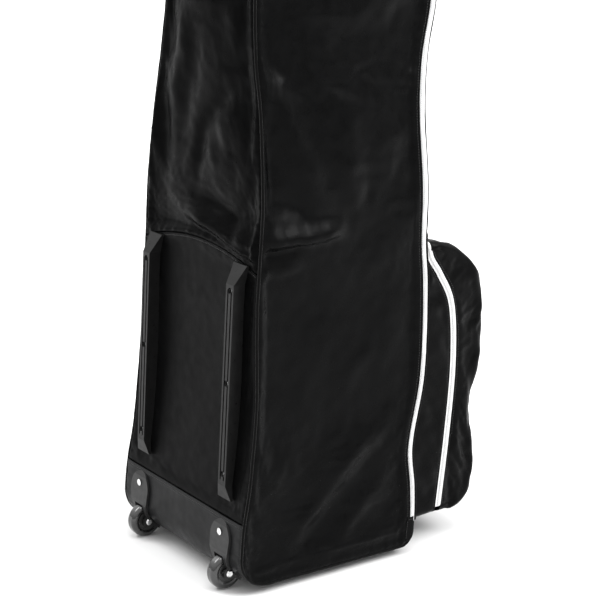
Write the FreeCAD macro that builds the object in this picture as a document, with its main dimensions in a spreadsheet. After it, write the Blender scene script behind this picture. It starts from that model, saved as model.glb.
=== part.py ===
import FreeCAD, Part
import math
import os
import re
import Sketcher

# Wheeled golf travel cover, standing upright on two rear wheels and two front feet.
# Millimetres. +Z up, +Y to the wheeled rear, -Y to the pocket, +X to the owner's left.

Vec = FreeCAD.Vector
doc = FreeCAD.newDocument("TravelCover")
nodes = []

# ---------------------------------------------------------------- driving dimensions

SIZES = [
    ("bag_bottom", 12, "underside of the bag above the floor"),
    ("bag_top", 1268, "crown of the hood"),
    ("hood_front", 1238, "front edge of the hood top"),
    ("rear_corner", 52, "radius of the bottom rear corner"),
    ("front_corner", 26, "radius of the bottom front corner"),
    ("hood_corner", 100, "radius of the hood's rear corner"),
    ("side_bulge", 16, "outward bulge of a side panel at the chest"),
    ("rear_bulge", 10, "outward bulge of the rear upper panel"),
    ("front_bulge", 8, "outward bulge of the upper front flap"),
    ("cloth", 3, "thickness of a lined panel"),
    ("piping", 5, "diameter of the corded seams"),
    ("seam_room", 5.8, "room that a corded seam takes from each panel"),
    ("panel_gap", 0.4, "gap between two panels at a flat seam"),
    ("kick_top", 118, "top seam of the coated kick panel"),
    ("arch_edge", 494, "top seam of the wear panel at the sides"),
    ("arch_rise", 28, "rise of that seam at the middle"),
    ("hood_start", 1150, "seam between the rear panel and the hood"),
    ("base_rear", 172, "rear edge of the base panel"),
    ("zip_bottom", 57, "lower end of the main zip"),
    ("zip_width", 16, "width of a closed zip"),
    ("zip_thick", 1.6, "thickness of the zip tape"),
    ("zip_gap", 0.5, "gap between the two halves of a zip"),
    ("fold_level", 520, "fold line of the upper front flap"),
    ("fold_gap", 2, "half the cloth left free at the fold line"),
    ("board", 3, "thickness of the stiffening boards"),
    ("board_half", 153, "half width of the stiffening boards"),
    ("rear_board_low", 124, "lower edge of the rear board"),
    ("rear_board_high", 486, "upper edge of the rear board"),
    ("pocket_half", 150, "half width of the pocket"),
    ("pocket_front", -252, "front face of the pocket"),
    ("pocket_bottom", 44, "underside of the pocket"),
    ("pocket_top", 508, "top of the pocket"),
    ("pocket_shoulder", 116, "radius of the pocket's top front edge"),
    ("pocket_toe", 46, "radius of the pocket's bottom front edge"),
    ("pocket_round", 12, "rounding of the pocket's side edges"),
    ("pocket_cloth", 2.5, "thickness of the pocket's cloth"),
    ("rail_x", 120, "distance of a skid rail from the middle"),
    ("rail_width", 20, "width of a rail"),
    ("rail_end_width", 35, "width of a rail's flared ends"),
    ("rail_low", 146, "lower tip of a rail"),
    ("rail_flat_low", 168, "lower end of a rail's straight face"),
    ("rail_flat_high", 478, "upper end of a rail's straight face"),
    ("rail_high", 507, "upper tip of a rail"),
    ("rail_face_low", 231.4, "y of the rail's face at its lower end"),
    ("rail_face_high", 221.3, "y of the rail's face at its upper end"),
    ("rail_tip", 4, "thickness of a rail's tips"),
    ("groove_width", 3, "width of the two grooves in a rail"),
    ("groove_depth", 1.6, "depth of those grooves"),
    ("groove_offset", 4.4, "distance of a groove from the rail's middle"),
    ("screw_low", 186, "height of the lowest rail screw"),
    ("screw_pitch", 141.5, "spacing of the rail screws"),
    ("screw_radius", 2.5, "radius of a rail screw's shank"),
    ("screw_head", 4.2, "radius of a rail screw's head"),
    ("head_depth", 4, "depth of the head below the rail's face"),
    ("wheel_x", 120, "distance of a wheel from the middle"),
    ("wheel_y", 224, "y of the wheel axles"),
    ("tyre_radius", 28, "radius of a wheel"),
    ("tyre_half", 11, "half width of a wheel"),
    ("tread_round", 7.5, "rounding of the tread"),
    ("rim_radius", 17, "radius of the hub under the tyre"),
    ("hub_half", 9, "half width of the hub"),
    ("bearing_radius", 9, "outer radius of a wheel bearing"),
    ("bearing_width", 5, "width of a wheel bearing"),
    ("bearing_inset", 3, "depth of a bearing below the hub's face"),
    ("axle_radius", 3, "radius of an axle"),
    ("axle_head", 6, "radius of an axle's head"),
    ("axle_head_high", 2.4, "height of an axle's head"),
    ("cheek_gap", 1, "gap between a wheel and its housing's cheeks"),
    ("cheek", 3, "thickness of a housing's cheeks"),
    ("well_gap", 3.5, "gap between a tyre and its well"),
    ("housing_half", 26, "half width of a housing's plate"),
    ("housing_top", 113, "top of a housing"),
    ("housing_low_half", 17, "half width of a housing at its lower end"),
    ("housing_proud", 5, "how far a housing stands out of the kick panel"),
    ("rivet_level", 94, "height of the housing rivet"),
    ("rivet_radius", 5.5, "radius of a housing rivet's head"),
    ("rivet_shank", 2, "radius of a housing rivet's shank"),
    ("foot_x", 112, "distance of a foot from the middle"),
    ("foot_y", -48, "y of the feet"),
    ("foot_radius", 15, "radius of a foot"),
    ("foot_round", 3, "rounding of a foot's sole"),
    ("handle_half", 60, "half length of the top handle"),
    ("handle_y", 45, "y of the top handle"),
    ("handle_width", 30, "width of the handle's webbing"),
    ("handle_thick", 2.6, "thickness of the handle's webbing"),
    ("handle_rise", 42, "top of the handle above the hood"),
    ("handle_bend", 14, "bend radius of the handle"),
    ("grip_half", 38, "half length of the handle's grip"),
    ("grip_round", 5, "rounding of the grip"),
    ("patch_size", 34, "side of a handle patch"),
    ("patch_thick", 1.5, "thickness of a handle patch"),
    ("strap_width", 25, "width of the inner retaining straps"),
    ("strap_thick", 1.6, "thickness of the inner straps"),
    ("strap_high", 880, "upper end of the inner straps"),
    ("strap_low", 655, "lower end of the inner straps"),
    ("strap_x", 110, "distance of the inner straps from the middle"),
    ("strap_y", 60, "y of the inner straps"),
    ("buckle_long", 34, "length of one half of the strap buckle"),
    ("buckle_thick", 7, "thickness of the strap buckle"),
    ("slider_long", 14, "length of a zip slider"),
    ("slider_wide", 9, "width of a zip slider"),
    ("slider_high", 2.4, "height of a zip slider"),
    ("slider_gap", 0.4, "gap between a slider and the tape under it"),
    ("slider_apart", 10, "distance of each closed slider from the middle"),
    ("bail_high", 3.2, "height of a slider's bail"),
    ("tab_long", 30, "length of a pull tab"),
    ("tab_wide", 7, "width of a pull tab"),
    ("tab_thick", 1.6, "thickness of a pull tab"),
]

# Levels up the bag: height, half width at the rear seams, rear face y, front face y.
LEVELS = [
    ("sole", 38, 174.5, 230, -107),
    ("ankle", 64, 175.5, 231, -108),
    ("kick", 118, 174.5, 226.5, -106),
    ("calf", 183, 173.5, 216, -99),
    ("knee", 300, 171, 206, -119),
    ("thigh", 444, 163, 202.5, -124),
    ("seat", 512, 162.5, 199, -117),
    ("hip", 600, 162, 195.5, -115),
    ("waist", 720, 147, 191.5, -114),
    ("rib", 800, 131, 190.5, -128),
    ("chest", 880, 121.5, 188, -148),
    ("neck", 1000, 121, 186, -150),
    ("crown", 1170, 131, 183, -131),
    ("peak", 1268, 118, 170, -112),
]

# The pocket zip's middle line, in the YZ plane, from the pocket's underside over its top.
POCKET_ZIP = [
    ("start", -175, 38),
    ("low", -188, 180),
    ("middle", -194, 300),
    ("bend", -185, 400),
    ("shoulder", -157, 454),
    ("turn", -137, 482),
    ("finish", -129, 514),
]

sheet = doc.addObject("Spreadsheet::Sheet", "Sizes")
rows = [(alias, value, note) for alias, value, note in SIZES]
for place, level, half, rear, front in LEVELS:
    rows.append((place + "_level", level, "height of the " + place + " level"))
    rows.append((place + "_half", half, "half width there"))
    rows.append((place + "_rear", rear, "rear face there"))
    rows.append((place + "_front", front, "front face there"))
for place, y, z in POCKET_ZIP:
    rows.append(("zip_" + place + "_y", y, "y of the pocket zip's " + place))
    rows.append(("zip_" + place + "_z", z, "height of the pocket zip's " + place))
for number, (alias, value, note) in enumerate(rows, start=1):
    sheet.set("A%d" % number, note)
    sheet.set("B%d" % number, str(value))
    sheet.setAlias("B%d" % number, alias)
doc.recompute()


def size(alias):
    return float(sheet.get(alias))


# ---------------------------------------------------------------- the bag's outline

def through_levels(column):
    """A smooth curve through the sheet's levels, as a function of height."""
    heights = [size(place[0] + "_level") for place in LEVELS]
    values = [size(place[0] + "_" + column) for place in LEVELS]
    last = len(heights) - 1

    def slope(i):
        low, high = max(i - 1, 0), min(i + 1, last)
        return (values[high] - values[low]) / (heights[high] - heights[low])

    def value(height):
        height = min(max(height, heights[0]), heights[last])
        i = max(k for k in range(last) if heights[k] <= height)
        span = heights[i + 1] - heights[i]
        t = (height - heights[i]) / span
        return ((2 * t**3 - 3 * t**2 + 1) * values[i] + (t**3 - 2 * t**2 + t) * span * slope(i)
                + (3 * t**2 - 2 * t**3) * values[i + 1] + (t**3 - t**2) * span * slope(i + 1))
    return value


half_at = through_levels("half")
rear_at = through_levels("rear")
front_at = through_levels("front")


def hood_height(y):
    """Height of the hood's top line at y."""
    back = rear_at(size("crown_level")) - size("hood_corner")
    front = front_at(size("hood_front"))
    rise = size("bag_top") - size("hood_front")
    return size("bag_top") - rise * (max(back - y, 0) / (back - front)) ** 2


def arc(centre_y, centre_z, radius, start, end, count):
    angles = [math.radians(start + (end - start) * k / count) for k in range(count + 1)]
    return [(centre_y + radius * math.cos(a), centre_z + radius * math.sin(a)) for a in angles]


def heights_between(low, high, count):
    return [low + (high - low) * k / count for k in range(count + 1)]


rear_radius = size("rear_corner")
front_radius = size("front_corner")
hood_radius = size("hood_corner")
rear_centre = (rear_at(size("ankle_level")) - rear_radius, size("bag_bottom") + rear_radius)
front_centre = (front_at(size("sole_level")) + front_radius, size("bag_bottom") + front_radius)
hood_centre = (rear_at(size("crown_level")) - hood_radius, size("bag_top") - hood_radius)


def base_line():
    """The base panel's outline: from the zip's end round the toe to the heel."""
    front_y = front_at(size("sole_level"))
    top = size("zip_bottom") - size("panel_gap") - 1
    toe = arc(front_centre[0], front_centre[1], front_radius, 180, 270, 6)
    steps = heights_between(toe[-1][0], size("base_rear"), 20)[1:]
    return [(front_y, top), (front_y, (top + toe[0][1]) / 2)] + toe + [(y, size("bag_bottom")) for y in steps]


def kick_line():
    """The kick panel's outline: round the heel and up to its top seam."""
    start = size("base_rear") + size("panel_gap")
    heel = arc(rear_centre[0], rear_centre[1], rear_radius, 270, 360, 8)
    levels = heights_between(rear_centre[1], size("kick_top"), 4)[1:]
    return [(start, size("bag_bottom"))] + heel + [(rear_at(z), z) for z in levels]


def hood_line():
    """The hood's outline: over the rear corner and forward to the zip."""
    levels = heights_between(size("hood_start") + size("panel_gap"), hood_centre[1], 1)
    corner = arc(hood_centre[0], hood_centre[1], hood_radius, 0, 90, 8)[1:]
    front = front_at(size("hood_front")) + size("zip_width") + size("panel_gap")
    steps = heights_between(hood_centre[0], front, 5)[1:]
    return [(rear_at(z), z) for z in levels] + corner + [(y, hood_height(y)) for y in steps]


def bulge_weight(height):
    """0 at the stiff bottom, 1 from the ribs up to the neck, falling again at the hood."""
    rise = min(max((height - size("thigh_level")) / (size("chest_level") - size("thigh_level")), 0), 1)
    fall = min(max((size("bag_top") - height) / (size("bag_top") - size("neck_level")), 0), 1)
    return rise * rise * (3 - 2 * rise) * min(fall * 1.6, 1)


# ---------------------------------------------------------------- building helpers

def keep(thing, label):
    """Name a finished sub-part and list it for export."""
    thing.Label = label
    nodes.append(thing)
    return thing


def shaped(shape, label):
    """A sub-part whose free form comes from Part's own functions."""
    thing = doc.addObject("Part::Feature", label)
    thing.Shape = shape
    return keep(thing, label)


def turned_solid(solid):
    if solid.Volume < 0:
        solid.reverse()
    return solid


ALIASES = {alias for alias, value, note in rows}


def in_sheet(expression):
    """The expression with every alias pointed at the Sizes sheet."""
    return re.sub(r"[a-z_]+", lambda m: "Sizes." + m[0] if m[0] in ALIASES else m[0], expression)


def bind(thing, **expressions):
    for property_name, expression in expressions.items():
        thing.setExpression(property_name, in_sheet(expression))


def put(thing, x, y, z, rotation=None):
    """Place a thing, its position bound to the sheet."""
    if rotation:
        thing.Placement = FreeCAD.Placement(Vec(0, 0, 0), rotation)
    for axis, expression in (("x", x), ("y", y), ("z", z)):
        thing.setExpression("Placement.Base." + axis, in_sheet(expression))


def block(label, sizes, corner):
    """A Part::Box with its three sizes and its low corner bound to the sheet."""
    box = doc.addObject("Part::Box", label)
    bind(box, Length=sizes[0], Width=sizes[1], Height=sizes[2])
    put(box, *corner)
    return box


def origin_plane(body, role):
    return next(plane for plane in body.Origin.OriginFeatures if plane.Role == role)


def bound_sketch(body, role, corners):
    """A closed outline on an origin plane, each corner's place bound to the sheet."""
    sketch = body.newObject("Sketcher::SketchObject", body.Name + "Outline")
    sketch.AttachmentSupport = [(origin_plane(body, role), "")]
    sketch.MapMode = "FlatFace"
    places = [[sheet.evalExpression(text) for text in corner] for corner in corners]
    count = len(corners)
    for i, (a, b) in enumerate(places):
        c, d = places[(i + 1) % count]
        sketch.addGeometry(Part.LineSegment(Vec(a, b, 0), Vec(c, d, 0)), False)
    for i in range(count):
        sketch.addConstraint(Sketcher.Constraint("Coincident", i, 2, (i + 1) % count, 1))
    for i, corner in enumerate(corners):
        for kind, text, value in zip(("DistanceX", "DistanceY"), corner, places[i]):
            number = sketch.addConstraint(Sketcher.Constraint(kind, -1, 1, i, 1, value))
            sketch.setExpression("Constraints[%d]" % number, in_sheet(text))
    return sketch


def offset_grid(grid, depth):
    """The grid moved inwards, towards the bag's axis, by depth."""
    last_row, last_column = len(grid) - 1, len(grid[0]) - 1
    result = []
    for i, line in enumerate(grid):
        moved = []
        for j, point in enumerate(line):
            along = grid[min(i + 1, last_row)][j] - grid[max(i - 1, 0)][j]
            across = grid[i][min(j + 1, last_column)] - grid[i][max(j - 1, 0)]
            normal = along.cross(across)
            normal.normalize()
            core = Vec(0, 50, min(max(point.z, 130), 1120))
            if normal.dot(core - point) < 0:
                normal = -normal
            moved.append(point + normal * depth)
        result.append(moved)
    return result


def cloth_solid(grid, thickness, inset=0.0):
    """A closed sheet of cloth: the grid's smooth surface, thickened inwards."""
    surfaces = []
    for depth in (inset, inset + thickness):
        surface = Part.BSplineSurface()
        surface.interpolate(offset_grid(grid, depth) if depth else grid)
        surfaces.append(surface)
    faces = [surface.toShape() for surface in surfaces]
    limits = [surface.bounds() for surface in surfaces]
    for side in (0, 1):
        edges = [s.uIso(b[side]).toShape() for s, b in zip(surfaces, limits)]
        faces.append(Part.makeRuledSurface(edges[0], edges[1]))
        edges = [s.vIso(b[2 + side]).toShape() for s, b in zip(surfaces, limits)]
        faces.append(Part.makeRuledSurface(edges[0], edges[1]))
    shell = Part.makeShell(faces)
    shell.sewShape()
    return turned_solid(Part.makeSolid(shell))


def ribbon(stations):
    """A ruled solid through closed rings of points."""
    wires = [Part.makePolygon(list(ring) + [ring[0]]) for ring in stations]
    return turned_solid(Part.makeLoft(wires, True, True))


def plate(points, plane, low, high):
    """A flat outline given in the YZ or XZ plane, extruded along the third axis."""
    if plane == "YZ":
        corners = [Vec(low, a, b) for a, b in points]
        reach = Vec(high - low, 0, 0)
    else:
        corners = [Vec(a, low, b) for a, b in points]
        reach = Vec(0, high - low, 0)
    return Part.Face(Part.makePolygon(corners + [corners[0]])).extrude(reach)


def strip_grid(line, bulge=0.0, count=8):
    """Points across the bag's width along an outline in the YZ plane."""
    grid = []
    for y, z in line:
        half = half_at(z) - size("seam_room")
        grid.append([Vec(half * s, y, z) for s in heights_between(-1, 1, count)])
    return grid


# ---------------------------------------------------------------- side panels

def side_grid(side):
    """A side panel's points: rows run up the panel, columns from front to rear."""
    room = size("seam_room")
    shrink = rear_radius - room
    front_edge = size("zip_width") + size("panel_gap") + 0.2
    toe_start = 180 + math.degrees(math.acos((front_radius - front_edge) / (front_radius - room)))
    toe = arc(front_centre[0], front_centre[1], front_radius - room, toe_start, 270, 2)
    heel = arc(rear_centre[0], rear_centre[1], shrink, 270, 315, 3)
    middle = heights_between(toe[-1][0], heel[0][0], 5)[1:-1]
    bottom = toe + [(y, size("bag_bottom") + room) for y in middle] + heel
    crown = arc(hood_centre[0], hood_centre[1], hood_radius - room, 90, 45, 3)
    front_y = front_at(size("hood_front")) + front_edge
    steps = heights_between(front_y, crown[0][0], len(bottom) - len(crown))[:-1]
    top = [(y, hood_height(y) - room) for y in steps] + crown
    count = 34
    first_z, last_z = bottom[0][1], top[0][1]
    front = []
    for z in heights_between(first_z, last_z, count):
        front.append((front_at(z) + front_edge, z))
    rear_low = arc(rear_centre[0], rear_centre[1], shrink, 315, 360, 2)
    rear_high = arc(hood_centre[0], hood_centre[1], hood_radius - room, 0, 45, 3)
    levels = heights_between(rear_centre[1], hood_centre[1], count - 5)[1:-1]
    rear = rear_low + [(rear_at(z) - room, z) for z in levels] + rear_high
    front[0] = bottom[0]
    grid = []
    last = len(bottom) - 1
    for i in range(count + 1):
        v = i / count
        line = []
        for j in range(last + 1):
            u = j / last
            y, z = [(1 - v) * bottom[j][k] + v * top[j][k] + (1 - u) * front[i][k] + u * rear[i][k]
                    - (1 - u) * (1 - v) * bottom[0][k] - u * (1 - v) * bottom[last][k]
                    - (1 - u) * v * top[0][k] - u * v * top[last][k] for k in (0, 1)]
            swell = size("side_bulge") * bulge_weight(z) * math.sin(math.pi * u)
            line.append(Vec(side * (half_at(z) + swell), y, z))
        grid.append(line)
    return grid


SIDES = (("right", -1), ("left", 1))
for name, side in SIDES:
    shaped(cloth_solid(side_grid(side), size("cloth")), "side_panel_" + name)


# ---------------------------------------------------------------- rear, base and hood panels

def arch_at(x):
    """Height of the wear panel's arched top seam at x."""
    share = x / half_at(size("arch_edge"))
    return size("arch_edge") + size("arch_rise") * (1 - share * share)


def rear_point(x, z, bulge):
    share = x / half_at(z)
    return Vec(x, rear_at(z) + bulge * bulge_weight(z) * (1 - share * share), z)


def rear_grid(low, high, bulge, rows):
    """Points on the rear face between two seams given as functions of x."""
    grid = []
    for v in heights_between(0, 1, rows):
        line = []
        for share in heights_between(-1, 1, 10):
            reach = half_at(low(0) + v * (high(0) - low(0))) - size("seam_room")
            x = share * reach
            z = low(x) + v * (high(x) - low(x))
            line.append(rear_point(share * (half_at(z) - size("seam_room")), z, bulge))
        grid.append(line)
    return grid


def rail_screws(radius, low, high):
    """Six shanks through the rear face, one under each rail screw."""
    shanks = []
    for name, side in SIDES:
        for k in range(3):
            z = size("screw_low") + k * size("screw_pitch")
            foot = Vec(side * size("rail_x"), rear_at(z) + low, z)
            shanks.append(Part.makeCylinder(radius, high - low, foot, Vec(0, 1, 0)))
    return shanks


screw_room = size("screw_radius") + 0.2
wear_low = size("kick_top") + size("panel_gap")
wear = cloth_solid(rear_grid(lambda x: wear_low, arch_at, 0, 12), size("cloth"))
shaped(wear.cut(rail_screws(screw_room, -20, 20)), "rear_wear_panel")
hood_seam = size("hood_start")
upper = rear_grid(lambda x: arch_at(x) + size("panel_gap"), lambda x: hood_seam, size("rear_bulge"), 16)
shaped(cloth_solid(upper, size("cloth")), "rear_upper_panel")
board_low, board_high = size("rear_board_low"), size("rear_board_high")
board_grid = [[Vec(x, rear_at(z), z) for x in heights_between(-size("board_half"), size("board_half"), 4)]
              for z in heights_between(board_low, board_high, 9)]
rear_board = cloth_solid(board_grid, size("board"), size("cloth") + size("panel_gap"))
shaped(rear_board.cut(rail_screws(screw_room, -20, 20)), "rear_stiffener_board")
shaped(cloth_solid(strip_grid(hood_line()), size("cloth")), "hood_panel")


# ---------------------------------------------------------------- wheel wells and housings

def wheel_centre(side):
    return Vec(side * size("wheel_x"), size("wheel_y"), size("tyre_radius"))


def across(side, radius, half_width):
    """A cylinder about a wheel's axle."""
    start = wheel_centre(side) - Vec(half_width, 0, 0)
    return Part.makeCylinder(radius, 2 * half_width, start, Vec(1, 0, 0))


well_half = size("tyre_half") + size("cheek_gap")
cheek_outer = well_half + size("cheek")
well_radius = size("tyre_radius") + size("well_gap")
well_wall = size("cheek")


def rivet_shank(side, radius):
    foot = Vec(side * size("wheel_x"), rear_at(size("rivet_level")) - 12, size("rivet_level"))
    return Part.makeCylinder(radius, 30, foot, Vec(0, 1, 0))


def cut_for_wheels(shape):
    """Open the panels at the heel for the two housings."""
    tools = []
    for name, side in SIDES:
        tools.append(across(side, well_radius + well_wall + 0.4, cheek_outer + 0.4))
        tools.append(across(side, size("axle_head") + 1, cheek_outer + size("axle_head_high") + 1))
        tools.append(rivet_shank(side, size("rivet_shank") + 0.2))
    return shape.cut(tools)


shaped(cut_for_wheels(cloth_solid(strip_grid(kick_line()), size("cloth"))), "rear_kick_panel")
shaped(cut_for_wheels(cloth_solid(strip_grid(base_line()), size("cloth"))), "base_panel")


def housing_face(extra):
    """Side outline of a housing's outer face, from its top round the heel."""
    proud = size("housing_proud")
    top = size("housing_top")
    upper = [(rear_at(top) + 1.2 + extra, top), (rear_at(top - 8) + proud - 0.8 + extra, top - 8)]
    upper.append((rear_at(rear_centre[1]) + proud + extra, rear_centre[1]))
    heel = arc(rear_centre[0], rear_centre[1], rear_radius + proud + extra, 0, -62, 8)
    return upper + heel[1:]


def housing(side):
    """A moulded cup: a teardrop plate over the kick panel, a wheel well and two axle cheeks."""
    gap = 0.3
    face = housing_face(0)
    back = [(rear_at(z) + gap, z) for z in heights_between(rear_centre[1], size("housing_top"), 4)[::-1]]
    back += arc(rear_centre[0], rear_centre[1], rear_radius + gap, 0, -62, 8)[1:]
    x = side * size("wheel_x")
    half = size("housing_half")
    plate_solid = plate(face + back[::-1], "YZ", x - half, x + half)
    low_half = size("housing_low_half")
    dome_high = half * 1.15
    dome_z = size("housing_top") - dome_high
    turns = [math.pi * k / 14 for k in range(15)]
    outline = [(x + half * math.cos(a), dome_z + dome_high * math.sin(a)) for a in turns]
    outline += [(x - half * 0.93, 64), (x - low_half - 1, 44), (x - low_half, 30), (x - low_half, 4)]
    outline += [(x + low_half, 4), (x + low_half, 30), (x + low_half + 1, 44), (x + half * 0.93, 64)]
    drop = plate(outline, "XZ", 150, 250)
    cup = plate_solid.common(drop)
    well = across(side, well_radius + well_wall, cheek_outer).cut(across(side, well_radius, well_half))
    inside = [(rear_centre[0] - 40, 12.4), (rear_centre[0], 12.4)]
    inside += arc(rear_centre[0], rear_centre[1], rear_radius, -90, 0, 8)
    inside += [(rear_centre[0] + rear_radius, 120), (rear_centre[0] - 40, 120)]
    well = well.common(plate(inside, "YZ", x - half, x + half))
    boss_radius = size("axle_head") + 4
    boss = across(side, boss_radius, cheek_outer).cut(across(side, boss_radius + 1, well_half))
    arm_outline = [(184, 16), (224, 18), (224, 38), (212, 50), (190, 50)]
    arm = plate(arm_outline, "YZ", x - cheek_outer, x + cheek_outer)
    arm = arm.cut(across(side, size("tyre_radius") * 3, well_half))
    whole = cup.fuse([well, boss, arm])
    slot = across(side, well_radius, well_half)
    whole = whole.cut([slot, across(side, size("axle_radius") + 0.05, 40)])
    head_room = across(side, size("axle_head") + 0.6, cheek_outer + 12)
    head_room = head_room.cut(across(side, size("axle_head") + 2, cheek_outer))
    whole = whole.cut([head_room, rivet_shank(side, size("rivet_shank") + 0.1)])
    return whole.removeSplitter()


for name, side in SIDES:
    shaped(housing(side), "wheel_housing_" + name)


# ---------------------------------------------------------------- front flap and main zip

def front_grid(low, high, bulge, rows):
    grid = []
    for z in heights_between(low, high, rows):
        reach = half_at(z) - size("zip_thick") - size("panel_gap")
        swell = bulge * bulge_weight(z)
        shares = heights_between(-1, 1, 8)
        grid.append([Vec(reach * s, front_at(z) - swell * (1 - s * s), z) for s in shares])
    return grid


fold = size("fold_level")
free = size("fold_gap")
hood_edge = size("hood_front") - size("zip_thick") - size("panel_gap")
lower = front_grid(size("zip_bottom"), fold - free, 0, 14)
shaped(cloth_solid(lower, size("cloth")), "front_lower_panel")
upper = front_grid(fold + free, hood_edge, size("front_bulge"), 20)
shaped(cloth_solid(upper, size("cloth")), "front_upper_flap")

half_zip = size("zip_width") / 2
tape_gap = size("zip_gap") / 2
BAG_HALF = (half_zip + tape_gap, 2 * half_zip)
FLAP_HALF = (0, half_zip - tape_gap)


def side_tape(side, low, high, edges):
    """A zip tape up the front edge of a side panel."""
    stations = []
    for z in heights_between(low, high, max(2, int((high - low) / 15))):
        outer = side * half_at(z)
        inner = outer - side * size("zip_thick")
        near, far = front_at(z) + edges[0], front_at(z) + edges[1]
        stations.append([Vec(outer, near, z), Vec(outer, far, z), Vec(inner, far, z), Vec(inner, near, z)])
    return ribbon(stations)


def hood_tape(edges):
    """The zip tape across the front edge of the hood."""
    reach = half_at(size("hood_front")) - size("zip_thick") - 0.3
    front = front_at(size("hood_front"))
    near, far = front + edges[0], front + edges[1]
    outline = [(near, hood_height(near)), (far, hood_height(far))]
    outline += [(far, hood_height(far) - size("zip_thick")), (near, hood_height(near) - size("zip_thick"))]
    return plate(outline, "YZ", -reach, reach)


for name, side in SIDES:
    top_z = size("hood_front")
    shaped(side_tape(side, size("zip_bottom"), top_z, BAG_HALF), "main_zip_bag_half_" + name)
    shaped(side_tape(side, size("zip_bottom"), fold - free, FLAP_HALF), "main_zip_lower_half_" + name)
    shaped(side_tape(side, fold + free, top_z, FLAP_HALF), "main_zip_flap_half_" + name)
shaped(hood_tape(BAG_HALF), "main_zip_bag_half_top")
shaped(hood_tape(FLAP_HALF), "main_zip_flap_half_top")


def end_tab(side):
    """The cloth tab that closes the side below the zip's lower end."""
    tab_top = size("zip_bottom") - size("panel_gap")
    stations = []
    for z in heights_between(size("sole_level") - 14, tab_top, 6):
        drop = max(front_centre[1] - z, 0)
        edge = front_centre[0] - math.sqrt(front_radius ** 2 - drop ** 2) + size("seam_room")
        far = front_at(z) + size("zip_width") - 1.5
        outer = side * half_at(z)
        inner = outer - side * size("zip_thick")
        stations.append([Vec(outer, edge, z), Vec(outer, far, z), Vec(inner, far, z), Vec(inner, edge, z)])
    return ribbon(stations)


shaped(Part.makeCompound([end_tab(side) for name, side in SIDES]), "zip_end_tabs")


# ---------------------------------------------------------------- corded seams

def piping(side):
    """A corded seam round a side panel: from the toe, along the base, up the rear, over the hood."""
    radius = size("piping") / 2
    line = [(front_at(size("sole_level")), z) for z in (54, 46)]
    line += arc(front_centre[0], front_centre[1], front_radius, 180, 270, 6)
    line += [(y, size("bag_bottom")) for y in heights_between(front_centre[0], rear_centre[0], 8)[1:-1]]
    line += arc(rear_centre[0], rear_centre[1], rear_radius, -90, 0, 8)
    line += [(rear_at(z), z) for z in heights_between(rear_centre[1], hood_centre[1], 36)[1:-1]]
    line += arc(hood_centre[0], hood_centre[1], hood_radius, 0, 90, 10)
    front = front_at(size("hood_front")) + size("zip_width") + 0.8
    line += [(y, hood_height(y)) for y in heights_between(hood_centre[0], front, 8)[1:]]
    stations = []
    last = len(line) - 1
    for k, (y, z) in enumerate(line):
        ahead, behind = line[min(k + 1, last)], line[max(k - 1, 0)]
        run = Vec(0, ahead[0] - behind[0], ahead[1] - behind[1])
        run.normalize()
        inward = Vec(0, -run.z, run.y)
        centre = Vec(side * (half_at(z) - radius - 0.1), y, z) + inward * (radius + 0.1)
        ring = []
        for turn in range(8):
            a = math.radians(22.5 + 45 * turn)
            ring.append(centre + Vec(side, 0, 0) * (radius * math.cos(a)) + inward * (radius * math.sin(a)))
        stations.append(ring)
    return ribbon(stations)


for name, side in SIDES:
    shaped(piping(side), "piping_" + name)


# ---------------------------------------------------------------- front pocket

def pocket_block(inset, behind):
    """The pocket's outer form, or its hollow when inset, reaching behind its rear edge."""
    half = size("pocket_half") - inset
    front = size("pocket_front") + inset
    low = size("pocket_bottom") + inset
    high = size("pocket_top") - inset
    toe = size("pocket_toe") - inset
    shoulder = size("pocket_shoulder") - inset
    rear_low = front_at(size("sole_level")) - 3 + behind
    slant = math.sqrt(0.5)

    def at(y, z):
        return Vec(-half, y, z)

    toe_middle = at(front + toe - toe * slant, low + toe - toe * slant)
    shoulder_middle = at(front + shoulder - shoulder * slant, high - shoulder + shoulder * slant)
    rear = [at(front_at(z) - size("panel_gap") - 0.3 + behind, z) for z in heights_between(high, 70, 20)]
    edges = [
        Part.LineSegment(at(rear_low, low), at(front + toe, low)),
        Part.Arc(at(front + toe, low), toe_middle, at(front, low + toe)),
        Part.LineSegment(at(front, low + toe), at(front, high - shoulder)),
        Part.Arc(at(front, high - shoulder), shoulder_middle, at(front + shoulder, high)),
        Part.LineSegment(at(front + shoulder, high), rear[0]),
    ]
    corners = rear + [at(rear_low, 62), at(rear_low, low)]
    edges += [Part.LineSegment(a, b) for a, b in zip(corners, corners[1:])]
    solid = Part.Face(Part.Wire([edge.toShape() for edge in edges])).extrude(Vec(2 * half, 0, 0))
    rounded = []
    for edge in solid.Edges:
        box = edge.BoundBox
        rear_edge = box.YMin > rear_low - 25
        if abs(abs(box.XMin) - half) < 0.01 and box.XLength < 0.01 and not rear_edge:
            rounded.append(edge)
    return solid.makeFillet(size("pocket_round") - inset, rounded)


def pocket_zip_line(offset):
    """The pocket zip's middle line moved forwards by offset, as points."""
    curve = Part.BSplineCurve()
    curve.interpolate([Vec(0, size("zip_" + p[0] + "_y"), size("zip_" + p[0] + "_z")) for p in POCKET_ZIP])
    points = []
    for share in heights_between(0, 1, 24):
        at = curve.FirstParameter + share * (curve.LastParameter - curve.FirstParameter)
        run = curve.tangent(at)[0]
        points.append(curve.value(at) + Vec(0, -run.z, run.y) * offset)
    return points


def before(offset):
    """Everything in front of the pocket zip's line moved forwards by offset."""
    points = pocket_zip_line(offset)
    curve = Part.BSplineCurve()
    curve.interpolate(points)
    far = [points[-1], Vec(0, -400, 620), Vec(0, -400, 0), points[0]]
    edges = [curve.toShape()] + [Part.LineSegment(a, b).toShape() for a, b in zip(far, far[1:])]
    face = Part.Face(Part.Wire(edges))
    face.translate(Vec(-220, 0, 0))
    return face.extrude(Vec(440, 0, 0))


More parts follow.
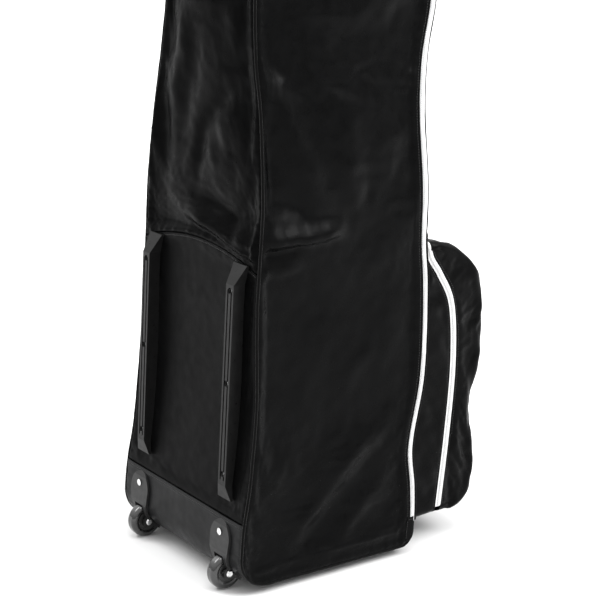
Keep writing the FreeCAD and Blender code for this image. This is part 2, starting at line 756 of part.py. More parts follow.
pocket_outer = pocket_block(0, 0)
pocket_shell = pocket_outer.cut(pocket_block(size("pocket_cloth"), 40))
pocket_skin = pocket_outer.cut(pocket_block(size("zip_thick"), 40))
shaped(pocket_shell.cut(before(-half_zip - tape_gap)), "pocket_rear_gusset")
shaped(pocket_shell.common(before(half_zip + tape_gap)), "pocket_lid")
rear_tape = pocket_skin.common(before(-half_zip)).cut(before(-tape_gap))
shaped(rear_tape, "pocket_zip_rear_half")
lid_tape = pocket_skin.common(before(tape_gap)).cut(before(half_zip))
shaped(lid_tape, "pocket_zip_lid_half")


# ---------------------------------------------------------------- skid rails

def rail_face(z):
    """y of a rail's straight outer face."""
    share = (z - size("rail_flat_low")) / (size("rail_flat_high") - size("rail_flat_low"))
    return size("rail_face_low") + share * (size("rail_face_high") - size("rail_face_low"))


def rail(side):
    """A moulded runner with two grooves and sloping, flared ends."""
    low, high = size("rail_low"), size("rail_high")
    flat_low, flat_high = size("rail_flat_low"), size("rail_flat_high")
    x = side * size("rail_x")
    back = [(rear_at(z) + 0.3, z) for z in heights_between(low, high, 12)]
    front = [(back[-1][0] + size("rail_tip"), high), (rail_face(flat_high), flat_high)]
    front += [(rail_face(flat_low), flat_low), (back[0][0] + size("rail_tip"), low)]
    half, end_half = size("rail_width") / 2, size("rail_end_width") / 2
    body = plate(back + front, "YZ", x - end_half, x + end_half)
    plan = [(x - end_half, low), (x + end_half, low), (x + half, flat_low), (x + half, flat_high)]
    plan += [(x + end_half, high), (x - end_half, high), (x - half, flat_high), (x - half, flat_low)]
    body = body.common(plate(plan, "XZ", 150, 280))
    for offset in (-size("groove_offset"), size("groove_offset")):
        depth, width = size("groove_depth"), size("groove_width") / 2
        start, stop = flat_low + 8, flat_high - 8
        outline = [(rail_face(start) - depth, start), (rail_face(start) + 2, start)]
        outline += [(rail_face(stop) + 2, stop), (rail_face(stop) - depth, stop)]
        body = body.cut(plate(outline, "YZ", x + offset - width, x + offset + width))
    for k in range(3):
        z = size("screw_low") + k * size("screw_pitch")
        seat = Vec(x, rail_face(z) - size("head_depth") - 2.4, z)
        body = body.cut(Part.makeCylinder(size("screw_head") + 0.3, 20, seat, Vec(0, 1, 0)))
        body = body.cut(Part.makeCylinder(size("screw_radius") + 0.1, 60, seat - Vec(0, 30, 0), Vec(0, 1, 0)))
    return body


for name, side in SIDES:
    shaped(rail(side), "skid_rail_" + name)

screws = []
for name, side in SIDES:
    for k in range(3):
        z = size("screw_low") + k * size("screw_pitch")
        seat = Vec(side * size("rail_x"), rail_face(z) - size("head_depth") - 2.3, z)
        tail = Vec(seat.x, rear_at(z) - size("cloth") - size("board") - 3, z)
        shank = Part.makeCylinder(size("screw_radius"), seat.y - tail.y + 0.5, tail, Vec(0, 1, 0))
        head = Part.makeCylinder(size("screw_head"), 2.3, seat, Vec(0, 1, 0))
        screws.append(shank.fuse(head))
shaped(Part.makeCompound(screws), "rail_screws")

rivets = []
for name, side in SIDES:
    face = rear_at(size("rivet_level")) + size("housing_proud") + 0.5
    seat = Vec(side * size("wheel_x"), face, size("rivet_level"))
    head = Part.makeSphere(size("rivet_radius") * 1.6, seat - Vec(0, size("rivet_radius") * 1.2, 0))
    head = head.common(Part.makeCylinder(size("rivet_radius"), 6, seat, Vec(0, 1, 0)))
    shank = Part.makeCylinder(size("rivet_shank"), 14, seat - Vec(0, 13.5, 0), Vec(0, 1, 0))
    rivets.append(head.fuse(shank))
shaped(Part.makeCompound(rivets), "housing_rivets")


# ---------------------------------------------------------------- turned pieces

ACROSS = FreeCAD.Rotation(Vec(0, 1, 0), 90)


def turned_body(label, profile):
    """A body turned about Z from a bound outline of (radius, height) corners."""
    body = doc.addObject("PartDesign::Body", label)
    sketch = bound_sketch(body, "XZ_Plane", profile)
    turn = body.newObject("PartDesign::Revolution", label + "Turn")
    turn.Profile = sketch
    turn.ReferenceAxis = (sketch, ["V_Axis"])
    turn.Angle = 360
    doc.recompute()
    return body


def round_rims(body, radius_word, rim_word):
    """Fillet the body's outermost circular edges of the radius rim_word."""
    tip = body.Tip
    names = []
    for number, edge in enumerate(tip.Shape.Edges, start=1):
        circle = getattr(edge, "Curve", None)
        if isinstance(circle, Part.Circle) and abs(circle.Radius - size(rim_word)) < 1e-6:
            names.append("Edge%d" % number)
    rounding = body.newObject("PartDesign::Fillet", body.Name + "Round")
    rounding.Base = (tip, names)
    bind(rounding, Radius=radius_word)
    doc.recompute()


for name, side in SIDES:
    wheel_spot = ("wheel_x * %d" % side, "wheel_y", "tyre_radius")
    tyre = turned_body("tyre_" + name, [
        ("rim_radius", "-tyre_half + 1"), ("rim_radius + 3", "-tyre_half"), ("tyre_radius", "-tyre_half"),
        ("tyre_radius", "tyre_half"), ("rim_radius + 3", "tyre_half"), ("rim_radius", "tyre_half - 1")])
    round_rims(tyre, "tread_round", "tyre_radius")
    put(keep(tyre, "tyre_" + name), *wheel_spot, ACROSS)
    hub = turned_body("wheel_hub_" + name, [
        ("axle_radius + 1.5", "-hub_half + bearing_inset + bearing_width"),
        ("bearing_radius", "-hub_half + bearing_inset + bearing_width"),
        ("bearing_radius", "-hub_half"), ("rim_radius", "-hub_half"), ("rim_radius", "hub_half"),
        ("bearing_radius", "hub_half"), ("bearing_radius", "hub_half - bearing_inset - bearing_width"),
        ("axle_radius + 1.5", "hub_half - bearing_inset - bearing_width")])
    put(keep(hub, "wheel_hub_" + name), *wheel_spot, ACROSS)
    bearings = []
    for end in (-1, 1):
        low = "hub_half - bearing_inset - bearing_width" if end > 0 else "-hub_half + bearing_inset"
        ring = turned_body("bearing_%s_%s" % (name, "outer" if end > 0 else "inner"), [
            ("axle_radius + 0.05", low), ("bearing_radius", low),
            ("bearing_radius", low + " + bearing_width"), ("axle_radius + 0.05", low + " + bearing_width")])
        bearings.append(ring)
    pair = doc.addObject("Part::Compound", "wheel_bearings_" + name)
    pair.Links = bearings
    put(keep(pair, "wheel_bearings_" + name), *wheel_spot, ACROSS)
    reach = "(tyre_half + cheek_gap + cheek)"
    axle = turned_body("axle_" + name, [
        ("0", "-%s - axle_head_high" % reach), ("axle_head - 2", "-%s - axle_head_high" % reach),
        ("axle_head", "-%s - 0.9" % reach), ("axle_head", "-" + reach), ("axle_radius", "-" + reach),
        ("axle_radius", reach), ("axle_head", reach), ("axle_head", reach + " + 0.9"),
        ("axle_head - 2", reach + " + axle_head_high"), ("0", reach + " + axle_head_high")])
    put(keep(axle, "axle_" + name), *wheel_spot, ACROSS)
    foot = turned_body("foot_" + name, [
        ("0", "0"), ("foot_radius", "0"), ("foot_radius + 2", "bag_bottom - 0.3"), ("0", "bag_bottom - 0.3")])
    put(keep(foot, "foot_" + name), "foot_x * %d" % side, "foot_y", "0")
    round_rims(foot, "foot_round", "foot_radius")


# ---------------------------------------------------------------- base board

base_board = block("base_board", ("2 * board_half", "base_rear - foot_y - 25", "board"),
                   ("-board_half", "foot_y", "bag_bottom + cloth + 0.5"))
keep(base_board, "base_stiffener_board")


# ---------------------------------------------------------------- top handle

patch_half = size("patch_size") / 2
patch_low = max([hood_height(size("handle_y") + k * patch_half) for k in (-1, 0, 1)]) + 0.5
handle_foot = patch_low + size("patch_thick") + 0.5

patches = []
for name, side in SIDES:
    corner = Vec(side * size("handle_half") - patch_half, size("handle_y") - patch_half, patch_low)
    patches.append(Part.makeBox(2 * patch_half, 2 * patch_half, size("patch_thick"), corner))
shaped(Part.makeCompound(patches), "handle_patches")


def arch_outline(half, top, radius, low):
    """An arch in the XZ plane: two legs joined by two round corners."""
    points = [(-half, low)]
    points += arc(-half + radius, top - radius, radius, 180, 90, 8)
    points += arc(half - radius, top - radius, radius, 90, 0, 8)
    points.append((half, low))
    return points


thick = size("handle_thick")
top = hood_height(size("handle_y")) + size("handle_rise")
outer_arch = arch_outline(size("handle_half"), top, size("handle_bend"), handle_foot)
inner_arch = arch_outline(size("handle_half") - thick, top - thick, size("handle_bend") - thick, handle_foot)
half_width = size("handle_width") / 2
webbing = plate(outer_arch + inner_arch[::-1], "XZ", size("handle_y") - half_width, size("handle_y") + half_width)
shaped(webbing, "handle_webbing")

grip_wall = 3
grip = Part.makeBox(2 * size("grip_half"), size("handle_width") + 2 * grip_wall, thick + 2 * grip_wall,
                    Vec(-size("grip_half"), size("handle_y") - half_width - grip_wall, top - thick - grip_wall))
long_edges = [edge for edge in grip.Edges if edge.BoundBox.XLength > 1]
grip = grip.makeFillet(size("grip_round") * 0.8, long_edges)
slot = Part.makeBox(2 * size("grip_half") + 2, size("handle_width") + 0.2, thick + 0.2,
                    Vec(-size("grip_half") - 1, size("handle_y") - half_width - 0.1, top - thick - 0.1))
shaped(grip.cut(slot), "handle_grip")


# ---------------------------------------------------------------- inner straps and buckle

for name, side in SIDES:
    low_x = "-strap_x" if side < 0 else "strap_x - strap_thick"
    strap = block("strap_" + name, ("strap_thick", "strap_width", "strap_high - strap_low"),
                  (low_x, "strap_y - strap_width / 2", "strap_low"))
    keep(strap, "inner_strap_" + name)

middle = "strap_x - strap_thick / 2"
socket_body = block("socket_body", ("buckle_thick", "strap_width + 5", "buckle_long"),
                    ("-(%s) - buckle_thick / 2" % middle, "strap_y - strap_width / 2 - 2.5",
                     "strap_low - buckle_long - 0.3"))
socket_mouth = block("socket_mouth", ("buckle_thick - 4", "strap_width - 1", "buckle_long"),
                     ("-(%s) - buckle_thick / 2 + 2" % middle, "strap_y - strap_width / 2 + 0.5",
                      "strap_low - buckle_long - 5"))
socket = doc.addObject("Part::Cut", "buckle_socket")
socket.Base = socket_body
socket.Tool = socket_mouth
keep(socket, "buckle_socket")

plug_x = "%s - buckle_thick / 2 + 2.3" % middle
plug_body = block("plug_body", ("buckle_thick - 4.6", "strap_width + 5", "buckle_long / 2"),
                  (plug_x, "strap_y - strap_width / 2 - 2.5", "strap_low - buckle_long / 2 - 0.3"))
prongs = [plug_body]
for number, offset in enumerate(("- strap_width / 2 + 1", "- 1.5", "+ strap_width / 2 - 4")):
    prongs.append(block("prong_%d" % number, ("buckle_thick - 4.6", "3", "buckle_long / 2 + 2"),
                        (plug_x, "strap_y " + offset, "strap_low - buckle_long - 0.3")))
plug = doc.addObject("Part::MultiFuse", "buckle_plug")
plug.Shapes = prongs
keep(plug, "buckle_plug")


# ---------------------------------------------------------------- zip sliders and pull tabs

def slider_shape():
    """A slider along X on its tape: a plate with a bail over it. Its origin is the tape's face."""
    long, wide, high = size("slider_long"), size("slider_wide"), size("slider_high")
    gap = size("slider_gap")
    base = Part.makeBox(long, wide, high, Vec(-long / 2, -wide / 2, gap))
    base = base.makeFillet(1.4, [e for e in base.Edges if e.BoundBox.ZLength > 1])
    under = gap + high
    posts = [Part.makeBox(1.2, 2.4, size("bail_high"), Vec(x, -1.2, under - 0.1)) for x in (-4.1, 2.9)]
    bridge = Part.makeBox(8.2, 2.4, 1.1, Vec(-4.1, -1.2, under + size("bail_high") - 1.1))
    return base.fuse(posts + [bridge]).removeSplitter()


def tab_shape():
    """A pull tab whose end bar lies under the bail; the origin is the bar's middle."""
    long, wide, thick = size("tab_long"), size("tab_wide"), size("tab_thick")
    tab = Part.makeBox(long, wide, thick, Vec(-0.6, -wide / 2, -thick / 2))
    tab = tab.makeFillet(1.5, [e for e in tab.Edges if e.BoundBox.ZLength > 1 and e.BoundBox.XMin > 5])
    window = Part.makeBox(4.8, 3.4, 4, Vec(0.6, -1.7, -2))
    hole = Part.makeCylinder(1.6, 4, Vec(long - 5, 0, -2))
    thin = Part.makeBox(1.3, wide, 4, Vec(-0.7, -wide / 2, 0.6))
    return tab.cut([window, hole, thin, thin.translated(Vec(0, 0, -5.2))])


def tape_face(y):
    """The place and the tilt of the hood's zip at y."""
    step = 1
    slope = (hood_height(y + step) - hood_height(y - step)) / (2 * step)
    return Vec(0, y, hood_height(y)), math.degrees(math.atan(slope))


BAR_HEIGHT = size("slider_gap") + size("slider_high") + 1.1
main_y = front_at(size("hood_front")) + half_zip
main_spot, main_tilt = tape_face(main_y)
pocket_y = min(pocket_zip_line(0), key=lambda p: abs(p.z - size("pocket_top"))).y
ZIPS = [("main", main_spot, main_tilt), ("pocket", Vec(0, pocket_y, size("pocket_top")), 0)]
for zip_name, spot, tilt in ZIPS:
    lean = FreeCAD.Rotation(Vec(1, 0, 0), tilt)
    for name, side in SIDES:
        turn = FreeCAD.Rotation(Vec(0, 0, 1), 0 if side > 0 else 180)
        turn = lean.multiply(turn)
        here = spot + Vec(side * size("slider_apart"), 0, 0)
        slider = shaped(slider_shape(), "%s_zip_slider_%s" % (zip_name, name))
        slider.Placement = FreeCAD.Placement(here, turn)
        tab = shaped(tab_shape(), "%s_pull_tab_%s" % (zip_name, name))
        tab.Placement = FreeCAD.Placement(here + lean.multVec(Vec(0, 0, BAR_HEIGHT)), turn)


# ---------------------------------------------------------------- checks and export

doc.recompute()
for thing in doc.Objects:
    if "Invalid" in thing.State or "Error" in thing.State:
        raise RuntimeError("%s failed: %s" % (thing.Label, thing.State))

os.makedirs("parts", exist_ok=True)
for thing in nodes:
    shape = thing.Shape
    if shape.isNull() or not shape.isValid():
        raise RuntimeError(thing.Label + " has no valid shape")
    shape.exportStep("parts/%s.step" % thing.Label)
    print("%-28s %9.0f mm3  %d solids  %s" % (thing.Label, shape.Volume, len(shape.Solids), shape.BoundBox))
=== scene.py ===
"""A wheeled travel cover for golf clubs: cloth panels, corded seams, zips and finishes on the CAD frame."""

import math

import bpy
import numpy as np
from mathutils import Matrix, Vector


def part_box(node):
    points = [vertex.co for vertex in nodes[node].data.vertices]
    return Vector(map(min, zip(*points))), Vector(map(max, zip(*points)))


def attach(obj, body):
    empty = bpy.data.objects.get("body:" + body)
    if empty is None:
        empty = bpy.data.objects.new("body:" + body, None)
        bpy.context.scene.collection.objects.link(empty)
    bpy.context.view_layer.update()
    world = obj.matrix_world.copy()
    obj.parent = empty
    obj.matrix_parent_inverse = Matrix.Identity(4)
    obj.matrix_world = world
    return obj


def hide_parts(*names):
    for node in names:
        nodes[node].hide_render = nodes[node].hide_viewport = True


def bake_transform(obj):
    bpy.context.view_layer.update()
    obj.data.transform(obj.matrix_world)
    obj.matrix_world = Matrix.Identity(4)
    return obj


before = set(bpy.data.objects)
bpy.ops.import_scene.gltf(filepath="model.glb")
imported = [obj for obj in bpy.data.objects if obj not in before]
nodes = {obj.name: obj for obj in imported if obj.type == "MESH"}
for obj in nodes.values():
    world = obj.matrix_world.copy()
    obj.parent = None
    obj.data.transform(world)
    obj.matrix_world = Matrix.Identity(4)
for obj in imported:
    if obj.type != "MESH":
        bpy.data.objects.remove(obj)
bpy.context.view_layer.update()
MM = 0.001

# ---------------------------------------------------------------- camera

CAMERA_PLACE = (-2.00965, 1.47149, 1.05535)
CAMERA_YAW, CAMERA_PITCH, CAMERA_ROLL = -36.0868, 14.7888, 1.5
LENS = 96.09


def add_camera():
    yaw, pitch, roll = (math.radians(a) for a in (CAMERA_YAW, CAMERA_PITCH, CAMERA_ROLL))
    ahead = Vector((math.cos(yaw) * math.cos(pitch), math.sin(yaw) * math.cos(pitch), -math.sin(pitch)))
    level = ahead.cross(Vector((0, 0, 1))).normalized()
    lift = level.cross(ahead)
    right = math.cos(roll) * level + math.sin(roll) * lift
    up = math.cos(roll) * lift - math.sin(roll) * level
    camera = bpy.data.objects.new("camera", bpy.data.cameras.new("camera"))
    camera.data.lens = LENS
    camera.data.sensor_width = 36
    camera.data.clip_start, camera.data.clip_end = 0.05, 200
    turn = Matrix((right, up, -ahead)).transposed().to_4x4()
    camera.matrix_world = Matrix.Translation(CAMERA_PLACE) @ turn
    bpy.context.scene.collection.objects.link(camera)
    bpy.context.scene.camera = camera


add_camera()

# ---------------------------------------------------------------- the bag's outline, in millimetres

LEVELS = np.array([  # height, half width, rear face, front face
    (38, 174.5, 230, -107), (64, 175.5, 231, -108), (118, 174.5, 226.5, -106), (183, 173.5, 216, -99),
    (300, 171, 206, -119), (444, 163, 202.5, -124), (512, 162.5, 199, -117), (600, 162, 195.5, -115),
    (720, 147, 191.5, -114), (800, 131, 190.5, -128), (880, 121.5, 188, -148), (1000, 121, 186, -150),
    (1170, 131, 183, -131), (1268, 118, 170, -112)], float)
BOTTOM, TOP, HOOD_FRONT = 12.0, 1268.0, 1238.0
HEEL, TOE, CROWN = 52.0, 26.0, 100.0
KICK_TOP, HOOD_START = 118.0, 1150.0
ARCH_EDGE, ARCH_RISE = 494.0, 28.0
SIDE_BULGE, REAR_BULGE, FRONT_BULGE = 16.0, 10.0, 8.0
CLOTH = 1.6
CORD = 2.5
SEAM = CORD + 0.1
ZIP_WIDTH, ZIP_BOTTOM = 16.0, 57.0
FOLD = 520.0
POCKET_HALF, POCKET_LOW, POCKET_HIGH, POCKET_FRONT = 150.0, 44.0, 508.0, -252.0
POCKET_TOE, POCKET_SHOULDER, POCKET_ROUND = 46.0, 116.0, 12.0
WHEEL_X, WHEEL_Y, WHEEL_R = 120.0, 224.0, 28.0
WELL_R, WELL_HALF = 36.0, 18.5
MIRROR = np.array([-1, 1, 1])
SIDES = (("right", -1), ("left", 1))


def level_curve(column):
    """A smooth curve through one column of LEVELS, as a function of height."""
    z, v = LEVELS[:, 0], LEVELS[:, column]
    low, high = np.maximum(np.arange(len(z)) - 1, 0), np.minimum(np.arange(len(z)) + 1, len(z) - 1)
    slope = (v[high] - v[low]) / (z[high] - z[low])

    def value(height):
        h = np.clip(height, z[0], z[-1])
        i = np.clip(np.searchsorted(z, h, side="right") - 1, 0, len(z) - 2)
        span = z[i + 1] - z[i]
        t = (h - z[i]) / span
        return ((2 * t**3 - 3 * t**2 + 1) * v[i] + (t**3 - 2 * t**2 + t) * span * slope[i]
                + (3 * t**2 - 2 * t**3) * v[i + 1] + (t**3 - t**2) * span * slope[i + 1])
    return value


half_at, rear_at, front_at = level_curve(1), level_curve(2), level_curve(3)
heel_y, heel_z = float(rear_at(64)) - HEEL, BOTTOM + HEEL
toe_y, toe_z = float(front_at(38)) + TOE, BOTTOM + TOE
crown_y, crown_z = float(rear_at(1170)) - CROWN, TOP - CROWN


def hood_height(y):
    reach = crown_y - float(front_at(HOOD_FRONT))
    return TOP - (TOP - HOOD_FRONT) * (np.maximum(crown_y - y, 0) / reach) ** 2


def arc(y, z, radius, start, end, count=24):
    a = np.radians(np.linspace(start, end, count + 1))
    return np.column_stack((y + radius * np.cos(a), z + radius * np.sin(a)))


def run(curve, low, high, step=8.0):
    """Points (curve(z), z) for z from low to high."""
    z = np.linspace(low, high, max(2, int(abs(high - low) / step) + 1))
    return np.column_stack((curve(z), z))


def unit(vectors):
    """Vectors in the last axis, each made one long."""
    return vectors / np.linalg.norm(vectors, axis=-1, keepdims=True)


def lengths(points):
    """How far along a line of points each of them is."""
    return np.concatenate(([0], np.cumsum(np.linalg.norm(np.diff(points, axis=0), axis=1))))


def resample(points, count):
    """The polyline as count points an equal length apart."""
    gaps = np.linalg.norm(np.diff(points, axis=0), axis=1)
    keep = np.concatenate(([True], gaps > 1e-6))
    points = points[keep]
    along = lengths(points)
    wanted = np.linspace(0, along[-1], count)
    return np.column_stack([np.interp(wanted, along, points[:, k]) for k in range(points.shape[1])])


def smooth(t):
    t = np.clip(t, 0, 1)
    return t * t * (3 - 2 * t)


def bulge_weight(z):
    rise = smooth((z - 444) / (880 - 444))
    return rise * np.minimum(np.clip((TOP - z) / (TOP - 1000), 0, 1) * 1.6, 1)


def arch_at(x):
    return ARCH_EDGE + ARCH_RISE * (1 - (x / float(half_at(ARCH_EDGE))) ** 2)


# ---------------------------------------------------------------- meshes

def add_mesh(name, points, faces, material, body=None, stands_for=(), slot=None, soft=True):
    """A new piece from points in millimetres. Faces is a list of arrays of 3 or 4 columns."""
    mesh = bpy.data.meshes.new(name)
    faces = [np.asarray(f, np.int32) for f in faces if len(f)]
    mesh.vertices.add(len(points))
    mesh.vertices.foreach_set("co", (np.asarray(points, np.float64) * MM).ravel())
    loops = np.concatenate([f.ravel() for f in faces])
    totals = np.concatenate([np.full(len(f), f.shape[1], np.int32) for f in faces])
    starts = np.concatenate(([0], np.cumsum(totals)[:-1])).astype(np.int32)
    mesh.loops.add(len(loops))
    mesh.loops.foreach_set("vertex_index", loops)
    mesh.polygons.add(len(totals))
    mesh.polygons.foreach_set("loop_start", starts)
    mesh.polygons.foreach_set("loop_total", totals)
    mesh.polygons.foreach_set("use_smooth", np.full(len(totals), soft))
    mesh.update(calc_edges=True)
    mesh.validate()
    mesh.materials.append(material)
    piece = bpy.data.objects.new(name, mesh)
    bpy.context.scene.collection.objects.link(piece)
    if body:
        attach(piece, body)
    if stands_for:
        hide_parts(*stands_for)
    return piece


def grid_faces(rows, columns, loop=False, flip=False, offset=0):
    """Quads of a grid; loop joins the last row to the first."""
    i = np.arange(rows if loop else rows - 1)[:, None]
    j = np.arange(columns - 1)[None, :]
    a = i * columns + j
    b = ((i + 1) % rows) * columns + j
    quads = np.stack((a, a + 1, b + 1, b), axis=-1).reshape(-1, 4) + offset
    return quads[:, ::-1] if flip else quads


def ring_faces(rows, sides, loop=False):
    """Quads between rings of points that follow each other; loop joins the last ring to the first."""
    i = np.arange(rows if loop else rows - 1)[:, None]
    here, there = i * sides, (i + 1) % rows * sides
    j = np.arange(sides)[None, :]
    turned = (j + 1) % sides
    return np.stack((here + j, here + turned, there + turned, there + j), axis=-1).reshape(-1, 4)


def grid_normals(grid, core):
    """Unit normals of a grid, pointing away from the core point or line."""
    along = np.gradient(grid, axis=0)
    across = np.gradient(grid, axis=1)
    normal = np.cross(along, across)
    length = np.linalg.norm(normal, axis=2, keepdims=True)
    normal = normal / np.maximum(length, 1e-9)
    outward = np.sum(normal * (grid - core), axis=2, keepdims=True)
    sign = 1.0 if np.sum(outward) > 0 else -1.0
    return normal * sign, sign > 0


CORE = np.array([0, 50, 620.0])


def shell(name, grid, normals, facing, thickness, material, loop=False, **how):
    """A sheet of cloth: the grid and its copy moved inwards, closed at its rims."""
    rows, columns = grid.shape[:2]
    count = rows * columns
    points = np.concatenate((grid.reshape(-1, 3), (grid - normals * thickness).reshape(-1, 3)))
    faces = [grid_faces(rows, columns, loop, not facing), grid_faces(rows, columns, loop, facing, count)]
    index = np.arange(count).reshape(rows, columns)
    rims = [index[:, 0], index[:, -1][::-1]]
    if loop:
        rims = [np.append(rim, rim[0]) for rim in rims]
    else:
        rims += [index[0][::-1], index[-1]]
    for rim in rims:
        quads = np.column_stack((rim[:-1], rim[1:], rim[1:] + count, rim[:-1] + count))
        faces.append(quads if facing else quads[:, ::-1])
    return add_mesh(name, points, faces, material, **how)


def sheet(name, grid, outward, thickness, material, **how):
    """A shell that faces outward, one direction or one for each point."""
    normals = np.broadcast_to(outward, grid.shape)
    facing = np.sum(np.cross(np.gradient(grid, axis=0), np.gradient(grid, axis=1)) * normals) > 0
    return shell(name, grid, normals, facing, thickness, material, **how)


def waves(a, b, size, seed, count=14):
    """A smooth random relief over the plane (a, b), about -1 to 1, with features of that size."""
    rng = np.random.default_rng(seed)
    total = np.zeros(np.broadcast(a, b).shape)
    for _ in range(count):
        turn, phase = rng.uniform(0, 2 * math.pi, 2)
        number = 2 * math.pi / (size * rng.uniform(0.75, 1.5))
        total = total + np.sin(number * (a * math.cos(turn) + b * math.sin(turn)) + phase)
    return total / math.sqrt(count / 2) / 1.6


def fold(a, b, line, width, height, upper=1.0):
    """A fold's relief: a soft ridge, or a valley if height is negative, along a line in the plane (a, b).

    Above the line the fold is upper times as wide as below it.
    """
    line = resample(np.array(line, float), 24)
    best = np.full(np.broadcast(a, b).shape, 1e9)
    where = np.zeros_like(best)
    for k in range(len(line) - 1):
        p, q = line[k], line[k + 1]
        d = q - p
        t = np.clip(((a - p[0]) * d[0] + (b - p[1]) * d[1]) / (d @ d), 0, 1)
        gap = np.hypot(a - p[0] - t * d[0], b - p[1] - t * d[1])
        nearer = gap < best
        best = np.where(nearer, gap, best)
        where = np.where(nearer, (k + t) / (len(line) - 1), where)
    ends = smooth(np.minimum(where, 1 - where) / 0.3) * 0.85 + 0.15
    above = b > np.interp(a, *line[np.argsort(line[:, 0])].T)
    return height * ends * np.exp(-(best / np.where(above, width * upper, width)) ** 2)


OFF_AXIS = (0.31, 0.87, 0.39)  # a direction that no tube starts along


def tube(points, radius, sides=10, loop=False):
    """Points and faces of a round tube along a line of points."""
    points = np.asarray(points, float)
    ahead = np.roll(points, -1, axis=0) - np.roll(points, 1, axis=0)
    if not loop:
        ahead[0], ahead[-1] = points[1] - points[0], points[-1] - points[-2]
    ahead = unit(ahead)
    side = np.zeros_like(ahead)
    side[0] = unit(np.cross(ahead[0], OFF_AXIS))
    for k in range(1, len(points)):
        side[k] = unit(side[k - 1] - ahead[k] * (side[k - 1] @ ahead[k]))
    other = np.cross(ahead, side)
    a = np.linspace(0, 2 * math.pi, sides, endpoint=False)
    radius = np.broadcast_to(radius, len(points))
    rings = (points[:, None] + radius[:, None, None] * (side[:, None] * np.cos(a)[None, :, None]
                                                         + other[:, None] * np.sin(a)[None, :, None]))
    rows = len(points)
    faces = [ring_faces(rows, sides, loop)]
    if loop:
        return rings.reshape(-1, 3), faces
    hub, last = rows * sides, (rows - 1) * sides
    this = np.arange(sides)
    following = (this + 1) % sides
    faces.append(np.column_stack((np.full(sides, hub), following, this)))
    faces.append(np.column_stack((np.full(sides, hub + 1), last + this, last + following)))
    return np.concatenate((rings.reshape(-1, 3), points[[0, -1]])), faces


def beads(name, centres, along, up, length, radius, material, lift=0.0, **how):
    """Many small capsules, such as stitches or a zip's coil, each lying along its own direction."""
    centres, along, up = (np.asarray(v, float) for v in (centres, along, up))
    along = unit(along)
    up = unit(up - along * np.sum(up * along, axis=1, keepdims=True))
    out = np.cross(along, up)
    sides, rings = 6, [(-0.5, 0.0), (-0.42, 0.7), (-0.2, 1.0), (0.2, 1.0), (0.42, 0.7), (0.5, 0.0)]
    a = np.linspace(0, 2 * math.pi, sides, endpoint=False)
    parts = []
    for place, share in rings:
        ring = (place * length * along[:, None] + radius * max(share, 0.02)
                * (np.cos(a)[None, :, None] * up[:, None] + np.sin(a)[None, :, None] * out[:, None]))
        parts.append(centres[:, None] + up[:, None] * lift + ring)
    points = np.stack(parts, axis=1).reshape(-1, 3)
    per = sides * len(rings)
    quads = ring_faces(len(rings), sides)
    caps = np.array([list(range(sides))[::-1], list(range(per - sides, per))])
    starts = (np.arange(len(centres)) * per)[:, None, None]
    faces = [(quads[None] + starts).reshape(-1, 4), (caps[None] + starts).reshape(-1, sides)]
    return add_mesh(name, points, faces, material, **how)


def walk(points, normals, pitch, start=0.0):
    """Evenly spaced places along a line: (centres, directions, normals)."""
    along = lengths(points)
    wanted = np.arange(start + pitch / 2, along[-1], pitch)
    centres = np.column_stack([np.interp(wanted, along, points[:, k]) for k in range(3)])
    up = np.column_stack([np.interp(wanted, along, normals[:, k]) for k in range(3)])
    ahead = np.gradient(centres, axis=0)
    return centres, ahead, up


def stitch_row(name, points, normals, body, pitch=4.2):
    """A row of stitches along a line of points on a cloth with those normals."""
    centres, ahead, up = walk(points, normals, pitch)
    beads(name, centres, ahead, up, pitch * 0.72, 0.42, THREAD, lift=0.15, body=body, slot="seam_cord")


# ---------------------------------------------------------------- materials

def set_range(node, *numbers):
    for socket, number in zip(("From Min", "From Max", "To Min", "To Max"), numbers):
        node.inputs[socket].default_value = number


